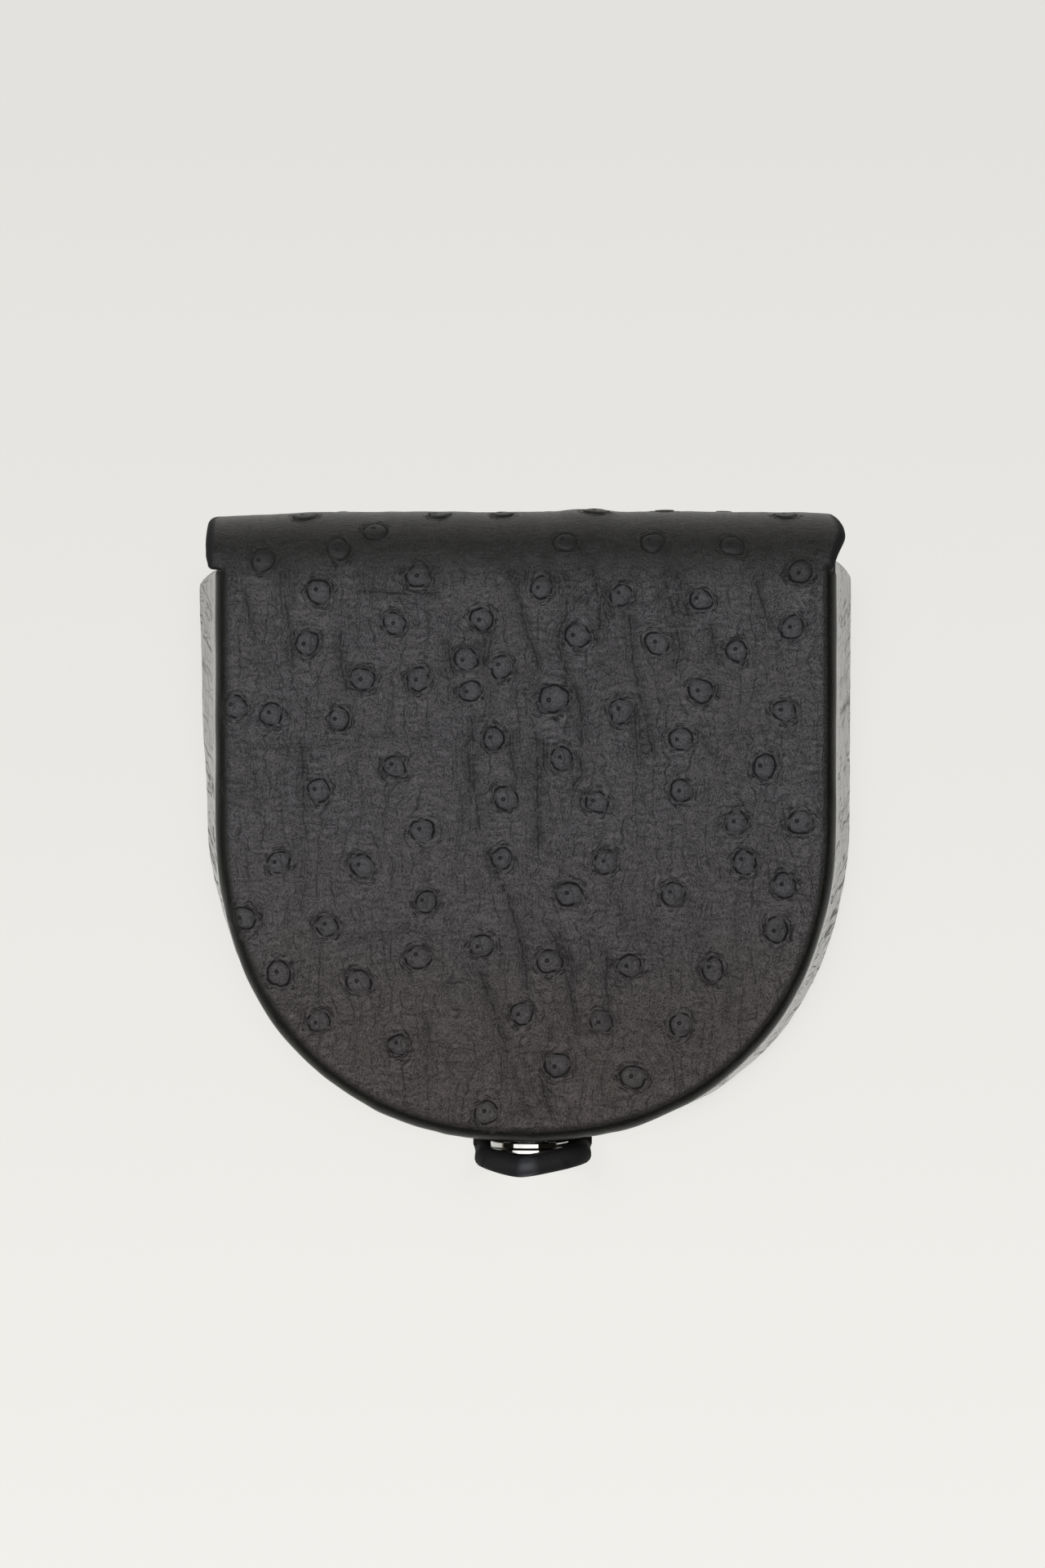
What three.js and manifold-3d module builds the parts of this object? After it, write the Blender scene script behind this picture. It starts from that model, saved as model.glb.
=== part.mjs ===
// Compact horseshoe coin purse in black quill-grained leather, closed and lying on its back flap.
// Millimetres, +Z up. The face looks up along +Z, the hinge roll is at +Y and the snap tongue at -Y.
// The origin is the middle of the purse's box, on the plane that the back flap rests on.

import * as THREE from "three";
import { mergeVertices } from "three/addons/utils/BufferGeometryUtils.js";
import Module from "manifold-3d";

// Driving dimensions
const DEPTH = 21; // from the flap's outer face to the front panel's outer face
const LEATHER = 2; // front panel, hinge roll and flap
const GUSSET_LEATHER = 1.8;
const SEAT_GAP = 0.3; // left between pieces that touch
const EDGE_ROUND = 0.5; // rounding of the cut leather edges

// Front panel: straight sides below the hinge crease, then a rounded lower part
const FACE_HALF_WIDTH = 38.9;
const FACE_HEIGHT = 71.8; // from the hinge crease to the bottom of the rim
const FACE_ROUND_HEIGHT = 40.7; // height of the rounded lower part
const FACE_SQUARENESS = 2.2; // exponent of the rounded part: 2 is an ellipse, more is squarer
const RIM_RADIUS = 3; // the face turns down into its rim by this radius
const RIM_LIP = 0.5; // straight stretch of the rim below its rounding
const RIM_ROOT = 2; // flat stretch of the rim's section that lies in the panel

// Hinge roll: its half width, as a share of the way over from the face to the flap
const ROLL_WIDTHS = [
  { along: 0, halfWidth: 39.1 },
  { along: 0.5, halfWidth: 40.8 },
  { along: 1, halfWidth: 40.3 },
];
const ROLL_RISE = 7.2; // from the crease to the top of the roll
const ROLL_TAIL = 1.2; // straight stretch of the roll below the crease

// Gusset: how far its mouth stands out from the rim, as a share of the way round
// from the top right corner by the bottom to the top left corner
const MOUTH_FLARE = [
  { along: 0, out: 3.3 },
  { along: 0.16, out: 3.1 },
  { along: 0.25, out: 2.5 },
  { along: 0.35, out: 1.9 },
  { along: 0.44, out: 0.7 },
  { along: 0.56, out: 0.7 },
  { along: 0.65, out: 1.1 },
  { along: 0.75, out: 1.6 },
  { along: 0.84, out: 2.5 },
  { along: 0.92, out: 3.1 },
  { along: 1, out: 3.3 },
];
const GUSSET_BOW = 0.25; // outward bow of the wall halfway down
const CORNER_DROP = 1.3; // the gusset's top corner is lower at the mouth by this much
const CORNER_POWER = 2.5; // and rounds off by this power of the way to the mouth
const CORNER_START = 0.3; // it starts this far below the crease at the rim

// Tongue of the flap, bent round the bottom of the gusset
const TONGUE_X = 0.9; // sideways place of the tongue
const TONGUE_PEAK = -1.2; // sideways place of the bow's peak on the tongue
const TONGUE_HALF_WIDTH = 7.3;
const TONGUE_LEATHER = 2.6; // doubled leather past the bend
const TONGUE_DROP = 5; // from the bottom of the rim to the tongue's lowest point
const TONGUE_BEND = 4.2; // outer radius of the bend
const TONGUE_ROOT = 7; // length of the tongue's start that lies in the flap
const TONGUE_TIP_Z = 17.3;
const TONGUE_TIP_RADIUS = 4; // rounded corners of the tongue's end
const TONGUE_BOW = 1.5; // the tongue's sides slope in by this much from the peak of its bow
const TONGUE_PEAK_ROUND = 2.2; // rounding of that peak
const TONGUE_BOW_FROM = 4.2;
const TONGUE_BOW_FULL = 10;
const TONGUE_EDGE_SHARE = 0.35; // share of the thickness lost at the rounded side edges
const TONGUE_EDGE_POWER = 6;

// Snap: radii, and distances out from the gusset's outer face
const SNAP_X = 0.5;
const SNAP_Z = 10;
const STUD = {
  rivetRadius: 3.2,
  rivetThickness: 0.6,
  shankRadius: 1.5,
  collarRadius: 3.4,
  collarFrom: 0.35,
  collarTo: 0.65,
  neckRadius: 1.7,
  ballRadius: 2.05,
  ballFrom: 1.05,
  ballTo: 1.65,
  bevel: 0.15,
};
const SOCKET = {
  ringRadius: 5,
  ringFrom: 0.4,
  beadRadius: 5.35,
  beadFrom: 1.7,
  beadTo: 2.3,
  counterboreRadius: 3.75,
  counterboreTo: 0.95,
  boreRadius: 2.4,
  boreTo: 1.95,
  bevel: 0.2,
};

// Fineness of the round shapes
const SIDE_STEPS = 5;
const ROUND_STEPS = 44;
const RIM_STEPS = 7;
const ROLL_STEPS = 24;
const WALL_STEPS = 3;
const BEND_STEPS = 8;
const TIP_STEPS = 6;
const ACROSS_STEPS = 10;
const SNAP_SIDES = 32;
const BEVEL_STEPS = 2;
const MERGE_DISTANCE = 1e-4; // points closer than this are one point

// Places that follow from the sizes
const TOTAL_LENGTH = ROLL_RISE + FACE_HEIGHT + TONGUE_DROP;
const CREASE_Y = TOTAL_LENGTH / 2 - ROLL_RISE;
const FACE_BOTTOM_Y = CREASE_Y - FACE_HEIGHT;
const ROUND_Y = FACE_BOTTOM_Y + FACE_ROUND_HEIGHT;
const RIM_END_Z = DEPTH - RIM_RADIUS - RIM_LIP;
const GUSSET_NEAR_Z = RIM_END_Z - SEAT_GAP;
const GUSSET_MOUTH_Z = LEATHER + SEAT_GAP;
const TONGUE_OUTER_Y = FACE_BOTTOM_Y - TONGUE_DROP;

const wasm = await Module();
wasm.setup();

// Manifold solid of a closed geometry
function toSolid(geometry) {
  const bare = geometry.clone();
  for (const name of Object.keys(bare.attributes)) {
    if (name !== "position") bare.deleteAttribute(name);
  }
  const merged = mergeVertices(bare, MERGE_DISTANCE);
  return new wasm.Manifold(
    new wasm.Mesh({
      numProp: 3,
      vertProperties: new Float32Array(merged.attributes.position.array),
      triVerts: new Uint32Array(merged.index.array),
    })
  );
}

function toGeometry(solid) {
  const mesh = solid.getMesh();
  const geometry = new THREE.BufferGeometry();
  geometry.setAttribute("position", new THREE.BufferAttribute(mesh.vertProperties, 3));
  geometry.setIndex(new THREE.BufferAttribute(mesh.triVerts, 1));
  geometry.computeVertexNormals();
  return geometry;
}

// Closed skin through equal rings of points, with flat caps. The rings turn
// anticlockwise when they are looked at against the way that they advance.
function loft(rings, section) {
  const count = rings[0].length;
  const positions = rings.flat().flatMap((point) => [point.x, point.y, point.z]);
  const triangles = [];
  for (let ring = 0; ring + 1 < rings.length; ring += 1) {
    for (let side = 0; side < count; side += 1) {
      const next = (side + 1) % count;
      const a = ring * count + side;
      const b = ring * count + next;
      triangles.push(a, b, b + count, a, b + count, a + count);
    }
  }
  const last = (rings.length - 1) * count;
  for (const [a, b, c] of THREE.ShapeUtils.triangulateShape(section, [])) {
    triangles.push(a, c, b, last + a, last + b, last + c);
  }
  const geometry = new THREE.BufferGeometry();
  geometry.setAttribute("position", new THREE.Float32BufferAttribute(positions, 3));
  geometry.setIndex(triangles);
  return geometry;
}

const smooth = (from, to, value) => THREE.MathUtils.smoothstep(value, from, to);

// The rim's outline, from its top right corner round the bottom to its top left
// corner: each station has its place, its outward direction and its share of the way.
function rimStations() {
  const stations = [];
  const top = CREASE_Y - CORNER_START;
  for (let step = 0; step < SIDE_STEPS; step += 1) {
    const y = THREE.MathUtils.lerp(top, ROUND_Y, step / SIDE_STEPS);
    stations.push({ x: FACE_HALF_WIDTH, y, outX: 1, outY: 0 });
  }
  const power = 2 / FACE_SQUARENESS;
  for (let step = 0; step <= ROUND_STEPS; step += 1) {
    const angle = (Math.PI * step) / ROUND_STEPS;
    const across = Math.sign(Math.cos(angle)) * Math.abs(Math.cos(angle)) ** power;
    const down = Math.abs(Math.sin(angle)) ** power;
    const slope = new THREE.Vector2(
      (Math.sign(across) * Math.abs(across) ** (FACE_SQUARENESS - 1)) / FACE_HALF_WIDTH,
      -(down ** (FACE_SQUARENESS - 1)) / FACE_ROUND_HEIGHT
    ).normalize();
    stations.push({
      x: FACE_HALF_WIDTH * across,
      y: ROUND_Y - FACE_ROUND_HEIGHT * down,
      outX: slope.x,
      outY: slope.y,
    });
  }
  for (let step = 1; step <= SIDE_STEPS; step += 1) {
    const y = THREE.MathUtils.lerp(ROUND_Y, top, step / SIDE_STEPS);
    stations.push({ x: -FACE_HALF_WIDTH, y, outX: -1, outY: 0 });
  }
  let length = 0;
  stations.forEach((station, index) => {
    const before = stations[Math.max(index - 1, 0)];
    length += Math.hypot(station.x - before.x, station.y - before.y);
    station.length = length;
  });
  for (const station of stations) station.along = station.length / length;
  return stations;
}

const STATIONS = rimStations();

// Value of a table's column between its rows
function readTable(table, column, along) {
  const upper = Math.max(1, table.findIndex((row) => row.along >= along));
  const from = table[upper - 1];
  const to = table[upper];
  const share = smooth(from.along, to.along, along);
  return THREE.MathUtils.lerp(from[column], to[column], share);
}

const flareAt = (along) => readTable(MOUTH_FLARE, "out", along);
const rollHalfWidthAt = (along) => readTable(ROLL_WIDTHS, "halfWidth", along);

const offsetPoint = (station, out, z) =>
  new THREE.Vector3(station.x + out * station.outX, station.y + out * station.outY, z);

// Section of the rim, outwards and up: a flat root in the panel, the rounding, the lip
function rimSection() {
  const points = [];
  const inner = RIM_RADIUS - LEATHER;
  const centreZ = DEPTH - RIM_RADIUS;
  points.push(new THREE.Vector2(-RIM_RADIUS - RIM_ROOT, DEPTH));
  for (let step = 0; step <= RIM_STEPS; step += 1) {
    const turn = (Math.PI / 2) * (step / RIM_STEPS);
    const out = RIM_RADIUS * Math.sin(turn) - RIM_RADIUS;
    points.push(new THREE.Vector2(out, centreZ + RIM_RADIUS * Math.cos(turn)));
  }
  points.push(new THREE.Vector2(0, RIM_END_Z));
  points.push(new THREE.Vector2(-LEATHER, RIM_END_Z));
  for (let step = RIM_STEPS; step >= 0; step -= 1) {
    const turn = (Math.PI / 2) * (step / RIM_STEPS);
    points.push(
      new THREE.Vector2(inner * Math.sin(turn) - RIM_RADIUS, centreZ + inner * Math.cos(turn))
    );
  }
  points.push(new THREE.Vector2(-RIM_RADIUS - RIM_ROOT, DEPTH - LEATHER));
  return points.reverse();
}

function rimSolid() {
  const section = rimSection();
  const rings = STATIONS.map((station) =>
    section.map((point) => offsetPoint(station, point.x, point.y))
  );
  return toSolid(loft(rings, section));
}

// Flat panel inside the rim, up to the crease
function panelSolid() {
  const inset = -RIM_RADIUS - RIM_ROOT / 2;
  const outline = STATIONS.map((station) => offsetPoint(station, inset, 0));
  const shape = new THREE.Shape();
  shape.moveTo(outline[0].x, CREASE_Y);
  for (const point of outline) shape.lineTo(point.x, point.y);
  shape.lineTo(outline.at(-1).x, CREASE_Y);
  const geometry = new THREE.ExtrudeGeometry(shape, { depth: LEATHER, bevelEnabled: false });
  geometry.translate(0, 0, DEPTH - LEATHER);
  return toSolid(geometry);
}

// Stations of the roll's outer face: a tail in the face, half an ellipse over the top,
// and a tail in the flap. The turn is 0 where the outer face looks up, and grows to the flap.
function rollPath() {
  const middle = DEPTH / 2;
  const path = [{ y: CREASE_Y - ROLL_TAIL, z: DEPTH, turn: 0, along: 0 }];
  for (let step = 0; step <= ROLL_STEPS; step += 1) {
    const along = step / ROLL_STEPS;
    const angle = Math.PI * along;
    path.push({
      y: CREASE_Y + ROLL_RISE * Math.sin(angle),
      z: middle + middle * Math.cos(angle),
      turn: Math.atan2(Math.sin(angle) * middle, Math.cos(angle) * ROLL_RISE),
      along,
    });
  }
  path.push({ y: CREASE_Y - ROLL_TAIL, z: 0, turn: Math.PI, along: 1 });
  return path;
}

// Section of the roll: across, and inwards from its outer face, with bevelled edges
function rollSection(halfWidth) {
  const flat = halfWidth - EDGE_ROUND;
  const right = [
    new THREE.Vector2(flat, 0),
    new THREE.Vector2(halfWidth, EDGE_ROUND),
    new THREE.Vector2(halfWidth, LEATHER - EDGE_ROUND),
    new THREE.Vector2(flat, LEATHER),
  ];
  const left = right.map(({ x, y }) => new THREE.Vector2(-x, y)).reverse();
  return [...right, ...left];
}

function rollSolid() {
  const rings = rollPath().map(({ y, z, turn, along }) =>
    rollSection(rollHalfWidthAt(along)).map(
      ({ x, y: depth }) =>
        new THREE.Vector3(x, y - depth * Math.sin(turn), z - depth * Math.cos(turn))
    )
  );
  return toSolid(loft(rings, rollSection(rollHalfWidthAt(0))));
}

// Back flap: it covers the gusset's mouth and narrows by shoulders to the roll
function flapSolid() {
  const mouth = STATIONS.map((station) => offsetPoint(station, flareAt(station.along), 0));
  const first = mouth[0];
  const last = mouth.at(-1);
  const shoulderY = first.y - CORNER_DROP;
  const topHalfWidth = rollHalfWidthAt(1);
  const shape = new THREE.Shape();
  shape.moveTo(topHalfWidth, CREASE_Y);
  shape.quadraticCurveTo(first.x, CREASE_Y, first.x, shoulderY);
  for (const point of mouth.slice(1, -1)) shape.lineTo(point.x, point.y);
  shape.lineTo(last.x, shoulderY);
  shape.quadraticCurveTo(last.x, CREASE_Y, -topHalfWidth, CREASE_Y);
  const geometry = new THREE.ExtrudeGeometry(shape, {
    depth: LEATHER - 2 * EDGE_ROUND,
    curveSegments: BEND_STEPS,
    bevelThickness: EDGE_ROUND,
    bevelSize: EDGE_ROUND,
    bevelOffset: -EDGE_ROUND,
    bevelSegments: BEVEL_STEPS,
  });
  geometry.translate(0, 0, EDGE_ROUND);
  return toSolid(geometry);
}

// Stations of the tongue's outer face along its middle: flat in the flap, round the
// bend, then up the bottom of the gusset to the rounded tip
function tonguePath() {
  const bendY = TONGUE_OUTER_Y + TONGUE_BEND;
  const path = [{ y: bendY + TONGUE_ROOT, z: 0, turn: 0, halfWidth: TONGUE_HALF_WIDTH }];
  for (let step = 0; step <= BEND_STEPS; step += 1) {
    const turn = (Math.PI / 2) * (step / BEND_STEPS);
    path.push({
      y: bendY - TONGUE_BEND * Math.sin(turn),
      z: TONGUE_BEND - TONGUE_BEND * Math.cos(turn),
      turn,
      halfWidth: TONGUE_HALF_WIDTH,
    });
  }
  const roundFrom = TONGUE_TIP_Z - TONGUE_TIP_RADIUS;
  for (let step = 1; step <= BEND_STEPS; step += 1) {
    path.push({
      y: TONGUE_OUTER_Y,
      z: THREE.MathUtils.lerp(TONGUE_BEND, roundFrom, step / BEND_STEPS),
      turn: Math.PI / 2,
      halfWidth: TONGUE_HALF_WIDTH,
    });
  }
  for (let step = 1; step <= TIP_STEPS; step += 1) {
    const angle = (Math.PI / 2) * (step / TIP_STEPS);
    path.push({
      y: TONGUE_OUTER_Y,
      z: roundFrom + TONGUE_TIP_RADIUS * Math.sin(angle),
      turn: Math.PI / 2,
      halfWidth: TONGUE_HALF_WIDTH - TONGUE_TIP_RADIUS * (1 - Math.cos(angle)),
    });
  }
  return path;
}

// Section of the tongue at a station: across, and inwards from its outer face
function tongueSection({ z, turn, halfWidth }) {
  const bow = TONGUE_BOW * smooth(TONGUE_BOW_FROM, TONGUE_BOW_FULL, z);
  const thickness = THREE.MathUtils.lerp(LEATHER, TONGUE_LEATHER, smooth(0, Math.PI / 2, turn));
  const outer = [];
  const inner = [];
  for (let step = 0; step <= ACROSS_STEPS; step += 1) {
    const share = (2 * step) / ACROSS_STEPS - 1;
    const across = share * halfWidth;
    const fromPeak = across - TONGUE_PEAK;
    const slope = Math.hypot(fromPeak, TONGUE_PEAK_ROUND) - TONGUE_PEAK_ROUND;
    const curl = (bow * slope) / (TONGUE_HALF_WIDTH - TONGUE_PEAK_ROUND);
    const rounding = TONGUE_EDGE_SHARE * Math.abs(share) ** TONGUE_EDGE_POWER;
    outer.push(new THREE.Vector2(across, curl + rounding * thickness));
    inner.unshift(new THREE.Vector2(across, curl + thickness));
  }
  return [...outer, ...inner];
}

function tongueSolid() {
  const path = tonguePath();
  const sections = path.map(tongueSection);
  const rings = path.map(({ y, z, turn }, index) =>
    sections[index].map(
      ({ x, y: depth }) =>
        new THREE.Vector3(
          TONGUE_X + x,
          y + depth * Math.sin(turn),
          z + depth * Math.cos(turn)
        )
    )
  );
  return toSolid(loft(rings, sections[0]));
}

// Where the snap stands: on the outer face of the gusset's bottom
const BOTTOM_ALONG = 0.5;
const SNAP_REACH = (GUSSET_NEAR_Z - SNAP_Z) / (GUSSET_NEAR_Z - GUSSET_MOUTH_Z);
const SNAP_Y = FACE_BOTTOM_Y - GUSSET_BOW - flareAt(BOTTOM_ALONG) * SNAP_REACH;

// Round tool along the snap's axis, between two distances out from the gusset
function snapTool(radius, from, to) {
  const geometry = new THREE.CylinderGeometry(radius, radius, to - from, SNAP_SIDES);
  geometry.translate(SNAP_X, SNAP_Y - (from + to) / 2, SNAP_Z);
  return toSolid(geometry);
}

function wrapGeometry() {
  const seat = snapTool(SOCKET.beadRadius + SEAT_GAP, 0, SOCKET.beadTo + SEAT_GAP);
  const tongue = tongueSolid().subtract(seat);
  return toGeometry(
    panelSolid().add(rimSolid()).add(rollSolid()).add(flapSolid()).add(tongue)
  );
}

// Section of the gusset at a station: outwards and up, down its inner face to the
// mouth and up its outer face to the rim
function gussetSection(flare) {
  const outer = [];
  const inner = [];
  for (let step = 0; step <= WALL_STEPS; step += 1) {
    const reach = step / WALL_STEPS;
    const out = flare * reach + GUSSET_BOW * Math.sin(Math.PI * reach);
    const z = THREE.MathUtils.lerp(GUSSET_NEAR_Z, GUSSET_MOUTH_Z, reach);
    outer.unshift(new THREE.Vector2(out, z));
    inner.push(new THREE.Vector2(out - GUSSET_LEATHER, z));
  }
  return [...inner, ...outer];
}

function gussetGeometry() {
  const rings = STATIONS.map((station, index) => {
    const atCorner = index === 0 || index === STATIONS.length - 1;
    return gussetSection(flareAt(station.along)).map((point) => {
      const place = offsetPoint(station, point.x, point.y);
      const reach = (GUSSET_NEAR_Z - point.y) / (GUSSET_NEAR_Z - GUSSET_MOUTH_Z);
      if (atCorner) place.y -= CORNER_DROP * reach ** CORNER_POWER;
      return place;
    });
  });
  const wall = toSolid(loft(rings, gussetSection(flareAt(0))));
  const hole = snapTool(STUD.shankRadius + SEAT_GAP, -2 * GUSSET_LEATHER, GUSSET_LEATHER);
  return toGeometry(wall.subtract(hole));
}

const lathe = (rows) =>
  new THREE.LatheGeometry(rows.map(([radius, out]) => new THREE.Vector2(radius, out)), SNAP_SIDES);

// Stud, from its rivet head inside the purse to its ball in the socket
function studGeometry() {
  const rivetTo = -GUSSET_LEATHER - SEAT_GAP;
  const rivetFrom = rivetTo - STUD.rivetThickness;
  return lathe([
    [0, rivetFrom],
    [STUD.rivetRadius - STUD.bevel, rivetFrom],
    [STUD.rivetRadius, rivetFrom + STUD.bevel],
    [STUD.rivetRadius, rivetTo],
    [STUD.shankRadius, rivetTo],
    [STUD.shankRadius, STUD.collarFrom],
    [STUD.collarRadius, STUD.collarFrom],
    [STUD.collarRadius, STUD.collarTo - STUD.bevel],
    [STUD.collarRadius - STUD.bevel, STUD.collarTo],
    [STUD.neckRadius, STUD.collarTo],
    [STUD.neckRadius, STUD.ballFrom - STUD.bevel],
    [STUD.ballRadius, STUD.ballFrom],
    [STUD.ballRadius, STUD.ballTo - STUD.bevel],
    [STUD.ballRadius - STUD.bevel, STUD.ballTo],
    [0, STUD.ballTo],
  ]);
}

// Socket: a ring with a bead against the tongue, bored for the stud's collar and ball
function socketGeometry() {
  return lathe([
    [0, SOCKET.boreTo],
    [SOCKET.boreRadius, SOCKET.boreTo],
    [SOCKET.boreRadius, SOCKET.counterboreTo],
    [SOCKET.counterboreRadius, SOCKET.counterboreTo],
    [SOCKET.counterboreRadius, SOCKET.ringFrom],
    [SOCKET.ringRadius - SOCKET.bevel, SOCKET.ringFrom],
    [SOCKET.ringRadius, SOCKET.ringFrom + SOCKET.bevel],
    [SOCKET.ringRadius, SOCKET.beadFrom],
    [SOCKET.beadRadius, SOCKET.beadFrom + SOCKET.bevel],
    [SOCKET.beadRadius, SOCKET.beadTo],
    [0, SOCKET.beadTo],
  ]);
}

const FACE_BLACK = 0x2b2a2b;
const GUSSET_BLACK = 0x262626;
const SNAP_GREY = 0x8f9194;
const leather = (color) =>
  new THREE.MeshStandardMaterial({ color, roughness: 0.5, metalness: 0 });
const metal = (color) =>
  new THREE.MeshStandardMaterial({ color, roughness: 0.18, metalness: 1 });

function named(name, geometry, material) {
  const mesh = new THREE.Mesh(geometry, material);
  mesh.name = name;
  return mesh;
}

// The snap's axis runs out through the bottom of the gusset, along -Y
const snap = new THREE.Group();
snap.position.set(SNAP_X, SNAP_Y, SNAP_Z);
snap.rotation.x = Math.PI;
snap.add(named("snap_stud", studGeometry(), metal(SNAP_GREY)));
snap.add(named("snap_socket", socketGeometry(), metal(SNAP_GREY)));

const purse = new THREE.Group();
purse.add(named("wrap", wrapGeometry(), leather(FACE_BLACK)));
purse.add(named("gusset", gussetGeometry(), leather(GUSSET_BLACK)));
purse.add(snap);

export default purse;
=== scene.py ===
import math

import bpy
import numpy as np
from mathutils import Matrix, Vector, noise
from mathutils.geometry import delaunay_2d_cdt


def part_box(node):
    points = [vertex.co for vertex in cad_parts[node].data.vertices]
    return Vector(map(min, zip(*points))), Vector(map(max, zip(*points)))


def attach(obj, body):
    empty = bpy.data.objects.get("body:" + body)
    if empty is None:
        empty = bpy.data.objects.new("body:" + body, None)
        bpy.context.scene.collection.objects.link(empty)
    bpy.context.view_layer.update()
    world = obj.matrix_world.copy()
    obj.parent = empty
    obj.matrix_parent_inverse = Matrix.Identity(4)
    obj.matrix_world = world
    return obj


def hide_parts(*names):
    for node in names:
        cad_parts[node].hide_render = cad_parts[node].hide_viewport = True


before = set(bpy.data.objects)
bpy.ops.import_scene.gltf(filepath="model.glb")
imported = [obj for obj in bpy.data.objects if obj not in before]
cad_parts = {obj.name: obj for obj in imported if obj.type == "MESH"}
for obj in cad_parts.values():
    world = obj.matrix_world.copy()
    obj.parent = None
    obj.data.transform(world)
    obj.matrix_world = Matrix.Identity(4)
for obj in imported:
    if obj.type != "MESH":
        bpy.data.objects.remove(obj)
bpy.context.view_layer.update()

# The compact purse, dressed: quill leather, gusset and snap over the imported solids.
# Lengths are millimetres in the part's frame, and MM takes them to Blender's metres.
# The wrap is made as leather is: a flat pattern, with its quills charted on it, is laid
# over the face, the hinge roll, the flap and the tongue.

MM = 0.001
SEED = 11
FAR = 9.0  # further than any mark or edge reaches


def node_box(name):
    """Lowest and highest corner of a solid, in millimetres."""
    low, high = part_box(name)
    return np.array(low) / MM, np.array(high) / MM


WRAP_LOW, WRAP_HIGH = node_box("wrap")
SOCKET_LOW, SOCKET_HIGH = node_box("snap_socket")

# Leather
LEATHER = 2.0
TONGUE_LEATHER = 2.6
GUSSET_LEATHER = 1.8
DEPTH = WRAP_HIGH[2]

# Front panel and its rim
FACE_HALF_WIDTH = 39.15
FACE_HEIGHT = 72.05
FACE_ROUND_HEIGHT = 40.7
FACE_SQUARENESS = 2.2
ROLL_RISE = 7.2  # of the solids
ROLL_FULLNESS = 0.6  # the leather of the roll stands proud by this at the top
ROLL_HEIGHT = ROLL_RISE + ROLL_FULLNESS
CREASE_Y = WRAP_HIGH[1] - ROLL_RISE
FACE_BOTTOM_Y = CREASE_Y - FACE_HEIGHT
ROUND_Y = FACE_BOTTOM_Y + FACE_ROUND_HEIGHT
RIM_TOP_Y = CREASE_Y - 0.3
RIM_END_Z = 17.5
NOTCH_U = 38.5  # inner end of the notch between the roll's end and the turned rim
NOTCH_HEIGHT = 0.35
TWIST_HEIGHT = 2.4  # the roll's end untwists from the rim's slope over this height
ROLL_CORNER = 0.5  # the corner of the roll's end by the notch is this high

# Tongue
TONGUE_X = 0.9
TONGUE_PEAK = -1.6
TONGUE_HALF_WIDTH = 7.7
TONGUE_BEND = 4.2
TONGUE_TIP_Z = 17.3
TONGUE_TIP_RADIUS = 4.0
TONGUE_TIP_ARCH = 0.8  # the tip's middle stands above its corners by this
TONGUE_SLOPES = (0.29, 0.22)  # of the bow, on the left and on the right of its peak
TONGUE_PEAK_ROUND = 1.4
TONGUE_BOW_TURN = (0.2, 1.3)  # the bow grows over this part of the bend, in radians
TONGUE_FILLET = 1.0
TONGUE_OUTER_Y = WRAP_LOW[1]
BEND_Y = TONGUE_OUTER_Y + TONGUE_BEND

# Tables along a way, as (share or place, value)
RIM_RADII = [(0, 2.05), (0.5, 2.1), (1, 2.15)]
ROLL_RIGHT = [(0, 39.0), (0.2, 40.4), (0.45, 39.6), (0.7, 39.0), (1, 39.4)]
ROLL_LEFT = [(0, 40.1), (0.06, 40.3), (0.15, 40.4), (0.35, 40.4), (0.55, 39.8), (0.75, 39.2), (1, 39.4)]
ROLL_SWELL = [(-40, -0.6), (-33, -0.4), (-27, 0), (2, 0), (8, 0.35), (14, 0.05), (34, 0), (40, -0.3)]
MOUTH_FLARE = [
    (0, 3.05), (0.16, 2.9), (0.25, 2.5), (0.31, 2.3), (0.36, 1.75), (0.44, 0.15), (0.56, 0.15),
    (0.65, 0.6), (0.75, 1.15), (0.84, 2.15), (0.92, 2.85), (1, 3.15),
]
WALL_WEAR = [
    (0, 0.35), (7, 0.6), (12, 0.25), (16, 0.6), (20, 0.3), (25, 0.7), (31, 0.6), (35, 1), (45, 0.9),
    (52, 1), (62, 0.6), (126, 0.5), (140, 0.7), (150, 0.9), (157, 0.95), (164, 0.8), (170, 0.6),
    (177, 0.3), (182, 0.7), (188, 0.5),
]  # how wrinkled the side wall is, along its length in millimetres from the right

RIM_BURNISH_AND_SHADE = (-0.04, 0.44)  # the rim's smooth burnish and its painted shade start and are full at these shares of its turn
ROLL_BURNISH_AND_SHADE = 0.8  # the roll's share of that burnish and painted shade
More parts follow.
